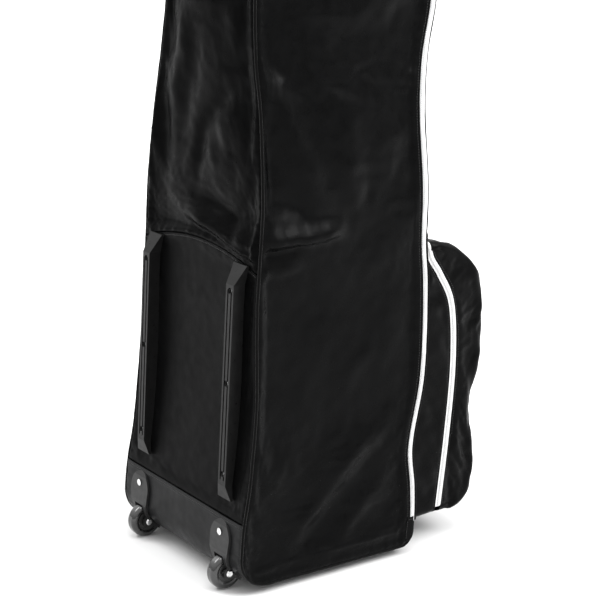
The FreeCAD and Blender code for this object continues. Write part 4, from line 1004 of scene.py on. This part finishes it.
def lid_grid(rows, side_columns, turn_columns, face_columns):
    """The lid as one grid: rows follow its outline, columns go side, corner, front, corner, side."""
    start, end = zip_edge(ZIP_EDGE, 2, POCKET_LOW, POCKET_HIGH)[:, 0]
    shares = spaced(rows, 0.2)
    outer = at_shares(lid_outline(start, end), shares)
    inner = at_shares(lid_outline(start, end, POCKET_ROUND), shares)
    zip_line = zip_edge(ZIP_EDGE, 80, POCKET_LOW + POCKET_ROUND, POCKET_HIGH - POCKET_ROUND)
    zip_points = at_shares(zip_line, shares)
    columns = []
    for t in np.linspace(0, 1, side_columns):
        p = zip_points + (inner - zip_points) * t
        columns.append(np.column_stack((np.full(rows, -POCKET_HALF), p)))
    for a in np.linspace(0, math.pi / 2, turn_columns + 1)[1:]:
        p = inner + (outer - inner) * math.sin(a)
        x = -POCKET_HALF + POCKET_ROUND * (1 - math.cos(a))
        columns.append(np.column_stack((np.full(rows, x), p)))
    flat = POCKET_HALF - POCKET_ROUND
    for x in np.linspace(-flat, flat, face_columns)[1:-1]:
        columns.append(np.column_stack((np.full(rows, x), outer)))
    half = np.stack(columns[:side_columns + turn_columns], axis=1)
    mirrored = half[:, ::-1] * MIRROR
    middle = np.stack(columns[side_columns + turn_columns:], axis=1)
    return np.concatenate((half, middle, mirrored), axis=1)


POCKET_CORE = np.array([0, -150, 270.0])
lid = Panel("pocket_lid_cloth", lid_grid(LID_ROWS, LID_SIDE, LID_TURN, LID_FACE),
            lid_grid(64, 7, 3, 30), core=POCKET_CORE, growth=0.010, pressure=0.6, cap=6.0)
x, y, z = (lid.base[..., k] for k in range(3))

run_x = np.sign(x) * np.where(np.abs(x) > POCKET_HALF - 1, POCKET_HALF + (y - POCKET_FRONT), np.abs(x))
LID_FOLDS = [
    ([(-300, 470), (-262, 440), (-220, 436), (-150, 446), (-60, 452)], 13, 3.4),
    ([(-290, 436), (-240, 418), (-190, 416)], 10, -2.8),
    ([(-250, 396), (-200, 388), (-120, 394)], 16, 2.4),
    ([(-240, 300), (-190, 285), (-110, 292)], 26, 2.0),
    ([(-250, 176), (-180, 168), (-60, 176)], 24, 2.4),
    ([(-248, 100), (-190, 92), (-100, 96)], 18, -2.2),
    ([(60, 440), (140, 430), (220, 446), (290, 468)], 14, 3.2),
    ([(80, 320), (150, 300), (240, 310)], 26, -2.2),
    ([(20, 210), (100, 190), (220, 200)], 26, 2.4),
    ([(60, 110), (160, 96), (250, 104)], 18, 2.0),
    ([(0, 400), (10, 300), (-8, 200)], 40, 2.0)]
for crease in LID_FOLDS:
    lid.relief += fold(run_x, z, *crease)
lid.relief += 1.1 * waves(run_x, z, 90, 121) + 0.5 * waves(run_x, z, 26, 122)
low, high, left, right = lid.gaps
rim = np.minimum(np.minimum(left, right), np.minimum(low, high))
lid.relief *= smooth(rim / 14)
lid.relief += hem_line(rim, POCKET_STITCH, 0.5) + 0.5 * np.sin(z / 3.1) * np.exp(-rim / 8) * smooth(rim / 3)
panels["lid"] = lid


def ring_path(offset, count_side, count_across, turn_columns):
    """Points round the pocket on the zip's line: up one side, over the top, down the other, underneath."""
    low, high = POCKET_LOW + POCKET_ROUND, POCKET_HIGH - POCKET_ROUND
    side_line = zip_edge(offset, count_side, low, high)
    bottom_y, top_y = zip_edge(offset, 2, POCKET_LOW, POCKET_HIGH)[:, 0]
    flat = POCKET_HALF - POCKET_ROUND
    up = np.column_stack((np.full(count_side, -POCKET_HALF), side_line))
    a = np.linspace(0, math.pi / 2, turn_columns + 2)[1:-1]
    ease = np.sin(a)
    foot, head = side_line[0, 0], side_line[-1, 0]
    turn_x = POCKET_HALF - POCKET_ROUND * (1 - np.cos(a))
    corner = np.column_stack((-turn_x, head + (top_y - head) * ease, high + POCKET_ROUND * ease))
    x = np.linspace(-flat, flat, count_across)
    over = np.column_stack((x, np.full(count_across, top_y), np.full(count_across, POCKET_HIGH)))
    down = up[::-1] * MIRROR
    under_corner = np.column_stack((turn_x, foot + (bottom_y - foot) * ease, low - POCKET_ROUND * ease))
    under = np.column_stack((x[::-1], np.full(count_across, bottom_y), np.full(count_across, POCKET_LOW)))
    return np.concatenate((up, corner, over, corner[::-1] * MIRROR, down, under_corner, under,
                           under_corner[::-1] * MIRROR))


RING = (110, 70, 6)  # points up each side, across the top, and round each corner
RING_ARCH = 2 * RING[0] + RING[1] + 2 * RING[2]  # points that the zip covers: both sides and the top


def gusset_grid(rows):
    """The pocket's rear part: from its seam on the front panel to the zip."""
    edge = ring_path(-ZIP_EDGE, *RING)
    back = edge.copy()
    back[:, 1] = front_at(edge[:, 2]) - 0.9
    low_rear = edge[:, 2] < 70
    back[low_rear, 1] = float(front_at(38)) - 3.2
    shares = spaced(rows, 0.4)[None, :, None]
    return back[:, None] + (edge - back)[:, None] * shares


gusset = Panel("pocket_gusset_cloth", gusset_grid(34), core=POCKET_CORE + (0, 20, 0))
x, y, z = (gusset.base[..., k] for k in range(3))
low, high, back_gap, zip_gap = gusset.gaps
around = lengths(gusset.base[:, -1])[:, None] + 0 * x
GUSSET_FOLDS = [
    ([(-96, 470), (-124, 452), (-150, 446)], 9, 3.6),
    ([(-98, 442), (-128, 420), (-170, 416)], 9, -3.4),
    ([(-100, 408), (-130, 398), (-172, 392)], 12, 3.0),
    ([(-100, 330), (-140, 320), (-184, 330)], 22, 2.2),
    ([(-104, 220), (-140, 205), (-178, 214)], 22, -2.2),
    ([(-104, 120), (-130, 108), (-172, 122)], 16, 2.8),
    ([(-106, 84), (-140, 76), (-168, 84)], 10, -2.0)]
for crease in GUSSET_FOLDS:
    gusset.relief += fold(y, z, *crease) * (np.abs(x) > POCKET_HALF - 1)
gusset.relief += 1.2 * waves(y + 0.4 * x, z, 70, 131) + 0.4 * waves(y + x, z, 24, 132)
rim = np.minimum(back_gap, zip_gap)
gusset.relief *= smooth(rim / 16)
gusset.relief += 0.5 * np.sin(around / 3.3) * np.exp(-rim / 8) * smooth(rim / 3)
gusset.relief += hem_line(zip_gap, POCKET_STITCH, 0.5)
gusset.relief += 0.8 * np.exp(-(back_gap / 4) ** 2)
panels["gusset"] = gusset

# ---------------------------------------------------------------- settle and build the cloth

moved = settling.run()
for panel in panels.values():
    panel.place(moved)

for name, side in SIDES:
    panels["side_" + name].build(POLYESTER, "bag", ["side_panel_" + name], "polyester")
# the rear upper panel gets the darker copy of the polyester, which is painted shade
panels["rear_upper"].build(SHADED_REAR_POLYESTER, "bag", ["rear_upper_panel"], "polyester")
panels["rear_wear"].build(WEAR, "bag", ["rear_wear_panel"], "polyester")
panels["kick"].build(COATED, "bag", ["rear_kick_panel"], "coated_cloth")
panels["base"].build(COATED_FLAT, "bag", ["base_panel"], "coated_cloth")
panels["hood"].build(POLYESTER_FLAT, "bag", ["hood_panel"], "polyester")
lid.build(POLYESTER, "pocket_lid", ["pocket_lid"], "polyester")
gusset.build(POLYESTER, "front_lower", ["pocket_rear_gusset"], "polyester", loop=True)
FOLD_START, FOLD_END = (0, -0.1177, FOLD * MM - 0.014), (0, -0.1177, FOLD * MM + 0.014)
panels["front"].build(POLYESTER, None, ["front_lower_panel", "front_upper_flap"], "polyester")
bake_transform(panels["front"].piece)


def open_for_wheels(piece):
    """Cuts the cloth round each wheel well."""
    for _, side in SIDES:
        axle = np.array([[side * WHEEL_X + k, WHEEL_Y, WHEEL_R] for k in (-WELL_HALF, WELL_HALF)])
        cutter = add_mesh("wheel_well_cutter", *tube(axle, WELL_R, 48), COATED)
        cut = piece.modifiers.new("wheel_well", "BOOLEAN")
        cut.operation, cut.solver, cut.object = "DIFFERENCE", "EXACT", cutter
        bpy.context.view_layer.update()
        graph = bpy.context.evaluated_depsgraph_get()
        done = bpy.data.meshes.new_from_object(piece.evaluated_get(graph))
        piece.modifiers.clear()
        piece.data = done
        bpy.data.objects.remove(cutter)


open_for_wheels(panels["kick"].piece)
open_for_wheels(panels["base"].piece)

# ---------------------------------------------------------------- corded seams

def seam_line():
    """(y, z) outline that both corded seams follow: toe, base, heel, rear, crown, hood."""
    hood_front_y = float(front_at(HOOD_FRONT)) + ZIP_WIDTH + 0.8
    y = np.linspace(crown_y, hood_front_y, 30)
    return np.concatenate(([[toe_y - TOE, 54], [toe_y - TOE, 46]], arc(toe_y, toe_z, TOE, 180, 270),
                           np.column_stack((np.linspace(toe_y + 8, heel_y - 8, 30), np.full(30, BOTTOM))),
                           arc(heel_y, heel_z, HEEL, 270, 360),
                           run(rear_at, heel_z + 6, crown_z - 6, 6.0),
                           arc(crown_y, crown_z, CROWN, 0, 90), np.column_stack((y, hood_height(y)))[1:]))


line = resample(seam_line(), 900)
ahead = unit(np.gradient(line, axis=0))
inward = np.column_stack((-ahead[:, 1], ahead[:, 0]))
along = np.linspace(0, 1, len(line)) * np.sum(np.linalg.norm(np.diff(line, axis=0), axis=1))
for name, side in SIDES:
    centre = line + inward * SEAM
    wander = 0.25 * np.sin(along / 23 + side) + 0.15 * np.sin(along / 9.1)
    points = np.column_stack((side * (half_at(line[:, 1]) - SEAM + wander), centre))
    radius = CORD * (0.94 + 0.03 * np.sin(along / 5.3 + side) + 0.02 * np.sin(along / 1.9))
    add_mesh("piping_%s_cord" % name, *tube(points, radius, 12), PIPING, body="bag",
             stands_for=["piping_" + name], slot="seam_cord")

# ---------------------------------------------------------------- zips

TOOTH_PITCH = 3.0
TAPE_THICK = 0.8
MAIN_REACH, POCKET_REACH = 7.6, 7.4


def zip_half(name, centre, outward, across, reach, body=None, stands_for=(), blended=None):
    """Half a zip's tape, from the zip's middle line: across points away from it, reach is the width."""
    shares = np.array([0.35, 1.2, 2.2, 3.4, reach * 0.6, reach])
    swell = np.array([0.35, 0.5, 0.15, 0.0, 0.0, -0.2])
    grid = centre[:, None] + across[:, None] * shares[:, None] + outward[:, None] * swell[:, None]
    piece = sheet(name, grid, outward[:, None], TAPE_THICK, TAPE, body=body, stands_for=stands_for,
                  slot="zip_tape")
    if blended:
        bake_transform(piece)
    return piece


def zip_teeth(name, centre, outward, across, start, body=None, blended=None):
    """One side of the coil: a rounded bar across the zip at every pitch."""
    places, ahead, up = walk(centre, outward, TOOTH_PITCH, start)
    _, _, over = walk(centre, across, TOOTH_PITCH, start)
    piece = beads(name, places + over * 0.9, over, up, 4.6, 0.95, COIL, lift=0.75, body=body, slot="zip_tape")
    if blended:
        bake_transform(piece)
    return piece


def main_zip_line():
    """The main zip's middle line: up the right side, over the hood's front edge, down the left side."""
    corner = 7.0
    z = np.arange(ZIP_BOTTOM, HOOD_FRONT - corner, 4.0)
    wander = 0.8 * np.sin(z / 26) + 0.5 * np.sin(z / 11 + 1.3)
    side_line = np.column_stack((-(half_at(z) - ZIP_FACE), front_at(z) + ZIP_WIDTH / 2 + wander, z))
    side_out = np.column_stack((-np.ones(len(z)), np.zeros(len(z)), np.zeros(len(z))))
    a = np.linspace(0, math.pi / 2, 9)[1:-1]
    half = float(half_at(HOOD_FRONT)) - ZIP_FACE
    top = float(hood_height(front_at(HOOD_FRONT) + ZIP_WIDTH / 2)) - ZIP_FACE
    y = float(front_at(HOOD_FRONT)) + ZIP_WIDTH / 2
    turn = np.column_stack((-half + corner * (1 - np.cos(a)), np.full(len(a), y),
                            top - corner * (1 - np.sin(a))))
    turn_out = np.column_stack((-np.cos(a), np.zeros(len(a)), np.sin(a)))
    x = np.arange(-half + corner, 0.1, 4.0)
    over = np.column_stack((x, np.full(len(x), y), np.full(len(x), top)))
    over_out = np.tile((0.0, 0.0, 1.0), (len(x), 1))
    line = np.concatenate((side_line, turn, over))
    out = np.concatenate((side_out, turn_out, over_out))
    return np.concatenate((line, line[::-1] * MIRROR)), np.concatenate((out, out[::-1] * MIRROR))


main_line, main_out = main_zip_line()
backward = np.tile((0.0, 1.0, 0.0), (len(main_line), 1))
MAIN_FOLD = ("front_lower", "front_upper", FOLD_START, FOLD_END)
zip_half("main_zip_tape_bag", main_line, main_out, backward, MAIN_REACH, body="bag",
         stands_for=["main_zip_bag_half_right", "main_zip_bag_half_left", "main_zip_bag_half_top"])
zip_half("main_zip_tape_flap", main_line, main_out, -backward, MAIN_REACH, blended=MAIN_FOLD,
         stands_for=["main_zip_lower_half_right", "main_zip_lower_half_left", "main_zip_flap_half_right",
                     "main_zip_flap_half_left", "main_zip_flap_half_top"])
zip_teeth("main_zip_coil_bag", main_line, main_out, backward, 0.0, body="bag")
zip_teeth("main_zip_coil_flap", main_line, main_out, -backward, TOOTH_PITCH / 2, blended=MAIN_FOLD)


def ring_zip():
    """The pocket zip's middle line round the sides and top, its outward and its rearward directions."""
    line = ring_path(0.0, *RING)[:RING_ARCH]
    rear = ring_path(-4.0, *RING)[:len(line)]
    over = unit(rear - line)
    out = unit(np.cross(np.gradient(line, axis=0), over))
    if np.sum(out * (line - POCKET_CORE)) < 0:
        out = -out
    return line, out, over


pocket_line, pocket_out, pocket_over = ring_zip()
sunk = pocket_line - pocket_out * 0.5
zip_half("pocket_zip_tape_rear", sunk, pocket_out, pocket_over, POCKET_REACH, body="front_lower",
         stands_for=["pocket_zip_rear_half"])
zip_half("pocket_zip_tape_lid", sunk, pocket_out, -pocket_over, POCKET_REACH, body="pocket_lid",
         stands_for=["pocket_zip_lid_half"])
zip_teeth("pocket_zip_coil_rear", sunk, pocket_out, pocket_over, 0.0, body="front_lower")
zip_teeth("pocket_zip_coil_lid", sunk, pocket_out, -pocket_over, TOOTH_PITCH / 2, body="pocket_lid")


def hinge_strip():
    """The cloth hinge under the pocket, between its rear part and its lid."""
    x = np.linspace(-POCKET_HALF + POCKET_ROUND, POCKET_HALF - POCKET_ROUND, 60)
    rear_y, lid_y = (zip_edge(offset, 2, POCKET_LOW, POCKET_HIGH)[0, 0] for offset in (-ZIP_EDGE, ZIP_EDGE))
    y = np.linspace(rear_y + 4, lid_y - 4, 16)
    drop = 0.7 + 0.5 * np.sin(np.linspace(0, math.pi, 16))
    grid = np.stack((np.broadcast_to(x[:, None], (60, 16)), np.broadcast_to(y[None, :], (60, 16)),
                     POCKET_LOW - np.broadcast_to(drop[None, :], (60, 16))), axis=-1)
    piece = sheet("pocket_hinge_strip", grid, (0.0, 0.0, -1.0), 1.2, WEBBING, slot="webbing")
    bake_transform(piece)


hinge_strip()

# ---------------------------------------------------------------- end tabs, stitching

END_TAB_LOW, END_TAB_HIGH = 23.0, 64.0


def end_tab(side):
    """The cloth tab over the lower end of the main zip on one side, as a grid."""
    z = np.linspace(END_TAB_LOW, END_TAB_HIGH, 22)
    drop = np.maximum(toe_z - z, 0)
    outer = toe_y - np.sqrt((TOE - SEAM) ** 2 - np.minimum(drop, TOE - SEAM - 0.5) ** 2)
    inner = front_at(z) + ZIP_WIDTH + 3
    t = np.linspace(0, 1, 14)[None, :]
    y = outer[:, None] * (1 - t) + inner[:, None] * t
    lift = 1.3 * smooth(t / 0.12) * smooth((1 - t) / 0.1 + 0.3) - 2.0 * (1 - smooth(t / 0.15))
    x = side * (half_at(z)[:, None] + lift + 0 * y)
    return np.stack((x, y, np.broadcast_to(z[:, None], y.shape)), axis=-1)


for name, side in SIDES:
    grid = end_tab(side)
    sheet("zip_end_tab_" + name, grid, (float(side), 0.0, 0.0), 1.4, POLYESTER, body="bag",
          stands_for=["zip_end_tabs"], slot="polyester")
    outline = [grid[19, 2:13], grid[3:19, 12][::-1]]
    for k, row in enumerate(outline):
        stitch_row("end_tab_%s_stitches_%d" % (name, k), row, np.tile((float(side), 0.0, 0.0), (len(row), 1)),
                   "bag", 3.4)


def column_at(panel, gap, which, where=slice(None)):
    """Points and normals on a panel at a distance from one of its rims: low, high, left or right."""
    gaps = panel.gaps[("low", "high", "left", "right").index(which)]
    if which in ("left", "right"):
        rows = np.arange(gaps.shape[0])[where]
        index = np.argmin(np.abs(gaps[rows] - gap), axis=1)
        return panel.grid[rows, index], panel.normals[rows, index]
    columns = np.arange(gaps.shape[1])[where]
    index = np.argmin(np.abs(gaps[:, columns] - gap), axis=0)
    return panel.grid[index, columns], panel.normals[index, columns]


for name, side in SIDES:
    hem = column_at(panels["side_" + name], HEM_STITCH, "left", slice(14, -8))
    stitch_row("side_hem_stitches_" + name, *hem, "bag")
stitch_row("kick_hem_stitches", *column_at(panels["kick"], KICK_STITCH, "high", slice(4, -4)), "bag")
stitch_row("arch_hem_stitches", *column_at(panels["rear_wear"], ARCH_STITCH, "high", slice(4, -4)), "bag")
stitch_row("hood_hem_stitches", *column_at(panels["hood"], HEM_STITCH, "high", slice(4, -4)), "bag")
upper_rows = slice(int(np.searchsorted(panels["front"].base[:, 50, 2], FOLD + 22)), -10)
for which in ("left", "right"):
    hem = column_at(panels["front"], FLAP_STITCH, which, upper_rows)
    stitch_row("flap_hem_stitches_" + which, *hem, "front_upper")
for which in ("left", "right"):
    stitch_row("lid_hem_stitches_" + which, *column_at(lid, POCKET_STITCH, which, slice(3, -3)), "pocket_lid")
stitch_row("lid_hem_stitches_top", *column_at(lid, POCKET_STITCH, "high", slice(34, -34)), "pocket_lid")
hem = column_at(gusset, POCKET_STITCH, "right", slice(0, RING_ARCH))
stitch_row("gusset_hem_stitches", *hem, "front_lower")
bound = gusset.grid[:RING_ARCH, 0] + gusset.normals[:RING_ARCH, 0] * 0.4
add_mesh("pocket_seam_binding", *tube(bound, 2.2), WEBBING, body="front_lower", slot="webbing")

# ---------------------------------------------------------------- handle and inner straps

def ribbon(name, line, out, width, thick, stands_for, columns=15):
    """A flat woven strap along a line, its width along y, with slightly thicker woven edges."""
    t = np.linspace(-1, 1, columns)
    edge = 0.35 * np.exp(-((1 - np.abs(t)) / 0.12) ** 2)
    grid = (line[:, None] + np.array([0, 1.0, 0]) * (t * width / 2)[None, :, None]
            + out[:, None] * (thick / 2 + edge)[None, :, None])
    sheet(name, grid, out[:, None], thick, WEBBING, body="bag", stands_for=stands_for, slot="webbing")


low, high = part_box("handle_webbing")
handle_foot, handle_top = low.z / MM, high.z / MM
handle_y = (low.y + high.y) / 2 / MM
handle_width = (high.y - low.y) / MM
STRAP = 2.6
rise = [(-75, 0.2), (-66, 0.2), (-57, 0.8), (-50, 5), (-44, 13),
        (-37, 24), (-28, 31.5), (-14, 35.2), (0, 36.0)]
control = np.array(rise + [(-x, z) for x, z in rise[-2::-1]], float)
control[:, 1] += handle_foot + STRAP / 2
control[:, 1] = np.minimum(control[:, 1], handle_top - STRAP / 2 - 0.4)
arch_line = refine(at_shares(control, np.linspace(0, 1, 40)), 150, 2)
ahead = unit(np.gradient(arch_line, axis=0))
arch_points = np.column_stack((arch_line[:, 0], np.full(150, handle_y), arch_line[:, 1]))
arch_out = np.column_stack((-ahead[:, 1], np.zeros(150), ahead[:, 0]))
ribbon("handle_webbing_strap", arch_points, arch_out, handle_width, STRAP, ["handle_webbing"])


GRIP_HALF = 38.0
FOAM_WIDE, FOAM_DEEP = 2.8, 2.9


def sleeve():
    """The foam grip: a flattened sleeve round the strap, drawn in a little at its ends."""
    count, sides = 60, 40
    middle = np.abs(arch_line[:, 0]) <= GRIP_HALF
    spine = at_shares(arch_line[middle], np.linspace(0, 1, count))
    rows = []
    for k, (x, z) in enumerate(spine):
        t = 2 * k / (count - 1) - 1
        shrink = 1 - 0.14 * smooth((abs(t) - 0.86) / 0.14)
        a = np.linspace(0, 2 * math.pi, sides, endpoint=False)
        wide, deep = (handle_width / 2 + FOAM_WIDE) * shrink, (STRAP / 2 + FOAM_DEEP) * shrink
        power = 0.45
        ring_y = np.sign(np.cos(a)) * np.abs(np.cos(a)) ** power * wide
        ring_z = np.sign(np.sin(a)) * np.abs(np.sin(a)) ** power * deep * (1 + 0.03 * np.sin(x / 2.2))
        rows.append(np.column_stack((np.full(sides, x), handle_y + ring_y, z + ring_z)))
    rings = np.array(rows)
    caps = np.array([np.arange(sides)[::-1], (count - 1) * sides + np.arange(sides)])
    return add_mesh("handle_grip_sleeve", rings.reshape(-1, 3), [ring_faces(count, sides), caps], GRIP,
                    body="bag", stands_for=["handle_grip"], slot="grip")


grip = sleeve()

low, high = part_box("handle_patches")
patch_half = (high.y - low.y) / MM / 2
for name, side in SIDES:
    t = np.linspace(-1, 1, 18)
    cx = side * (high.x / MM - patch_half)
    gx, gy = np.meshgrid(cx + t * patch_half, handle_y + t * patch_half, indexing="ij")
    soft_edge = 0.5 * np.maximum(np.abs(t)[:, None], np.abs(t)[None, :]) ** 8
    grid = np.stack((gx, gy, high.z / MM - soft_edge + 0.1 * waves(gx, gy, 14, 141)), axis=-1)
    sheet("handle_patch_" + name, grid, (0.0, 0.0, 1.0), 2.6, COATED_FLAT, body="bag",
          stands_for=["handle_patches"], slot="coated_cloth")
    inset = patch_half - 4
    lift = high.z / MM + 0.1
    box_line = np.array([(cx - inset, handle_y - inset, lift), (cx + inset, handle_y - inset, lift),
                         (cx + inset, handle_y + inset, lift), (cx - inset, handle_y + inset, lift),
                         (cx - inset, handle_y - inset, lift)])
    box_line = at_shares(box_line, np.linspace(0, 1, 200))
    stitch_row("handle_patch_stitches_" + name, box_line, np.tile((0.0, 0.0, 1.0), (200, 1)), "bag", 3.0)

for name, side in SIDES:
    low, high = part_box("inner_strap_" + name)
    z = np.linspace(low.z, high.z, 60) / MM
    sway = 1.6 * np.sin((z - z[0]) / 38) * smooth((z - z[0]) / 40)
    x = np.full(60, (low.x + high.x) / 2 / MM) + side * np.minimum(sway, 1.0) * -1
    strap_line = np.column_stack((x, np.full(60, (low.y + high.y) / 2 / MM), z))
    ribbon("inner_strap_%s_webbing" % name, strap_line, np.tile((-float(side), 0.0, 0.0), (60, 1)),
           (high.y - low.y) / MM, 1.5, ["inner_strap_" + name])

# ---------------------------------------------------------------- floor and light

def add_floor():
    size = 60000.0
    points = [(-size, -size, -0.2), (size, -size, -0.2), (size, size, -0.2), (-size, size, -0.2)]
    look = Finish("floor", 0.9, 0.1)
    look.colours(grey(0.66), grey(0.68), look.spread(look.noise(400, 2), 0, 1))
    floor = add_mesh("floor", points, [np.array([[0, 1, 2, 3]])], look.material, soft=False)


add_floor()


def add_world(horizon, zenith):
    """Soft studio light all round, brighter from above."""
    world = bpy.data.worlds.new("studio")
    world.use_nodes = True
    tree = world.node_tree
    tree.nodes["Background"].inputs["Color"].default_value = (1, 1, 1, 1)
    place = tree.nodes.new("ShaderNodeTexCoord")
    split = tree.nodes.new("ShaderNodeSeparateXYZ")
    level = tree.nodes.new("ShaderNodeMapRange")
    set_range(level, 0.0, 0.5, horizon, zenith)
    tree.links.new(place.outputs["Generated"], split.inputs[0])
    tree.links.new(split.outputs["Z"], level.inputs["Value"])
    tree.links.new(level.outputs["Result"], tree.nodes["Background"].inputs["Strength"])
    bpy.context.scene.world = world


def add_sun(name, place, strength, angle):
    """A wide soft light that comes from place, the same over the whole scene."""
    lamp = bpy.data.lights.new(name, "SUN")
    lamp.energy, lamp.angle = strength, math.radians(angle)
    thing = bpy.data.objects.new(name, lamp)
    thing.location = place
    thing.rotation_euler = Vector(place).to_track_quat("Z", "Y").to_euler()
    bpy.context.scene.collection.objects.link(thing)


add_world(0.50, 1.5)
add_sun("overhead", (-0.5, 0.1, 3.0), 1.2, 30)
add_sun("side", (-1.58, -1.16, 2.1), 2.6, 30)
add_sun("rear", (1.58, 1.16, 2.2), 1.6, 30)
bpy.context.scene.view_settings.view_transform = "Standard"
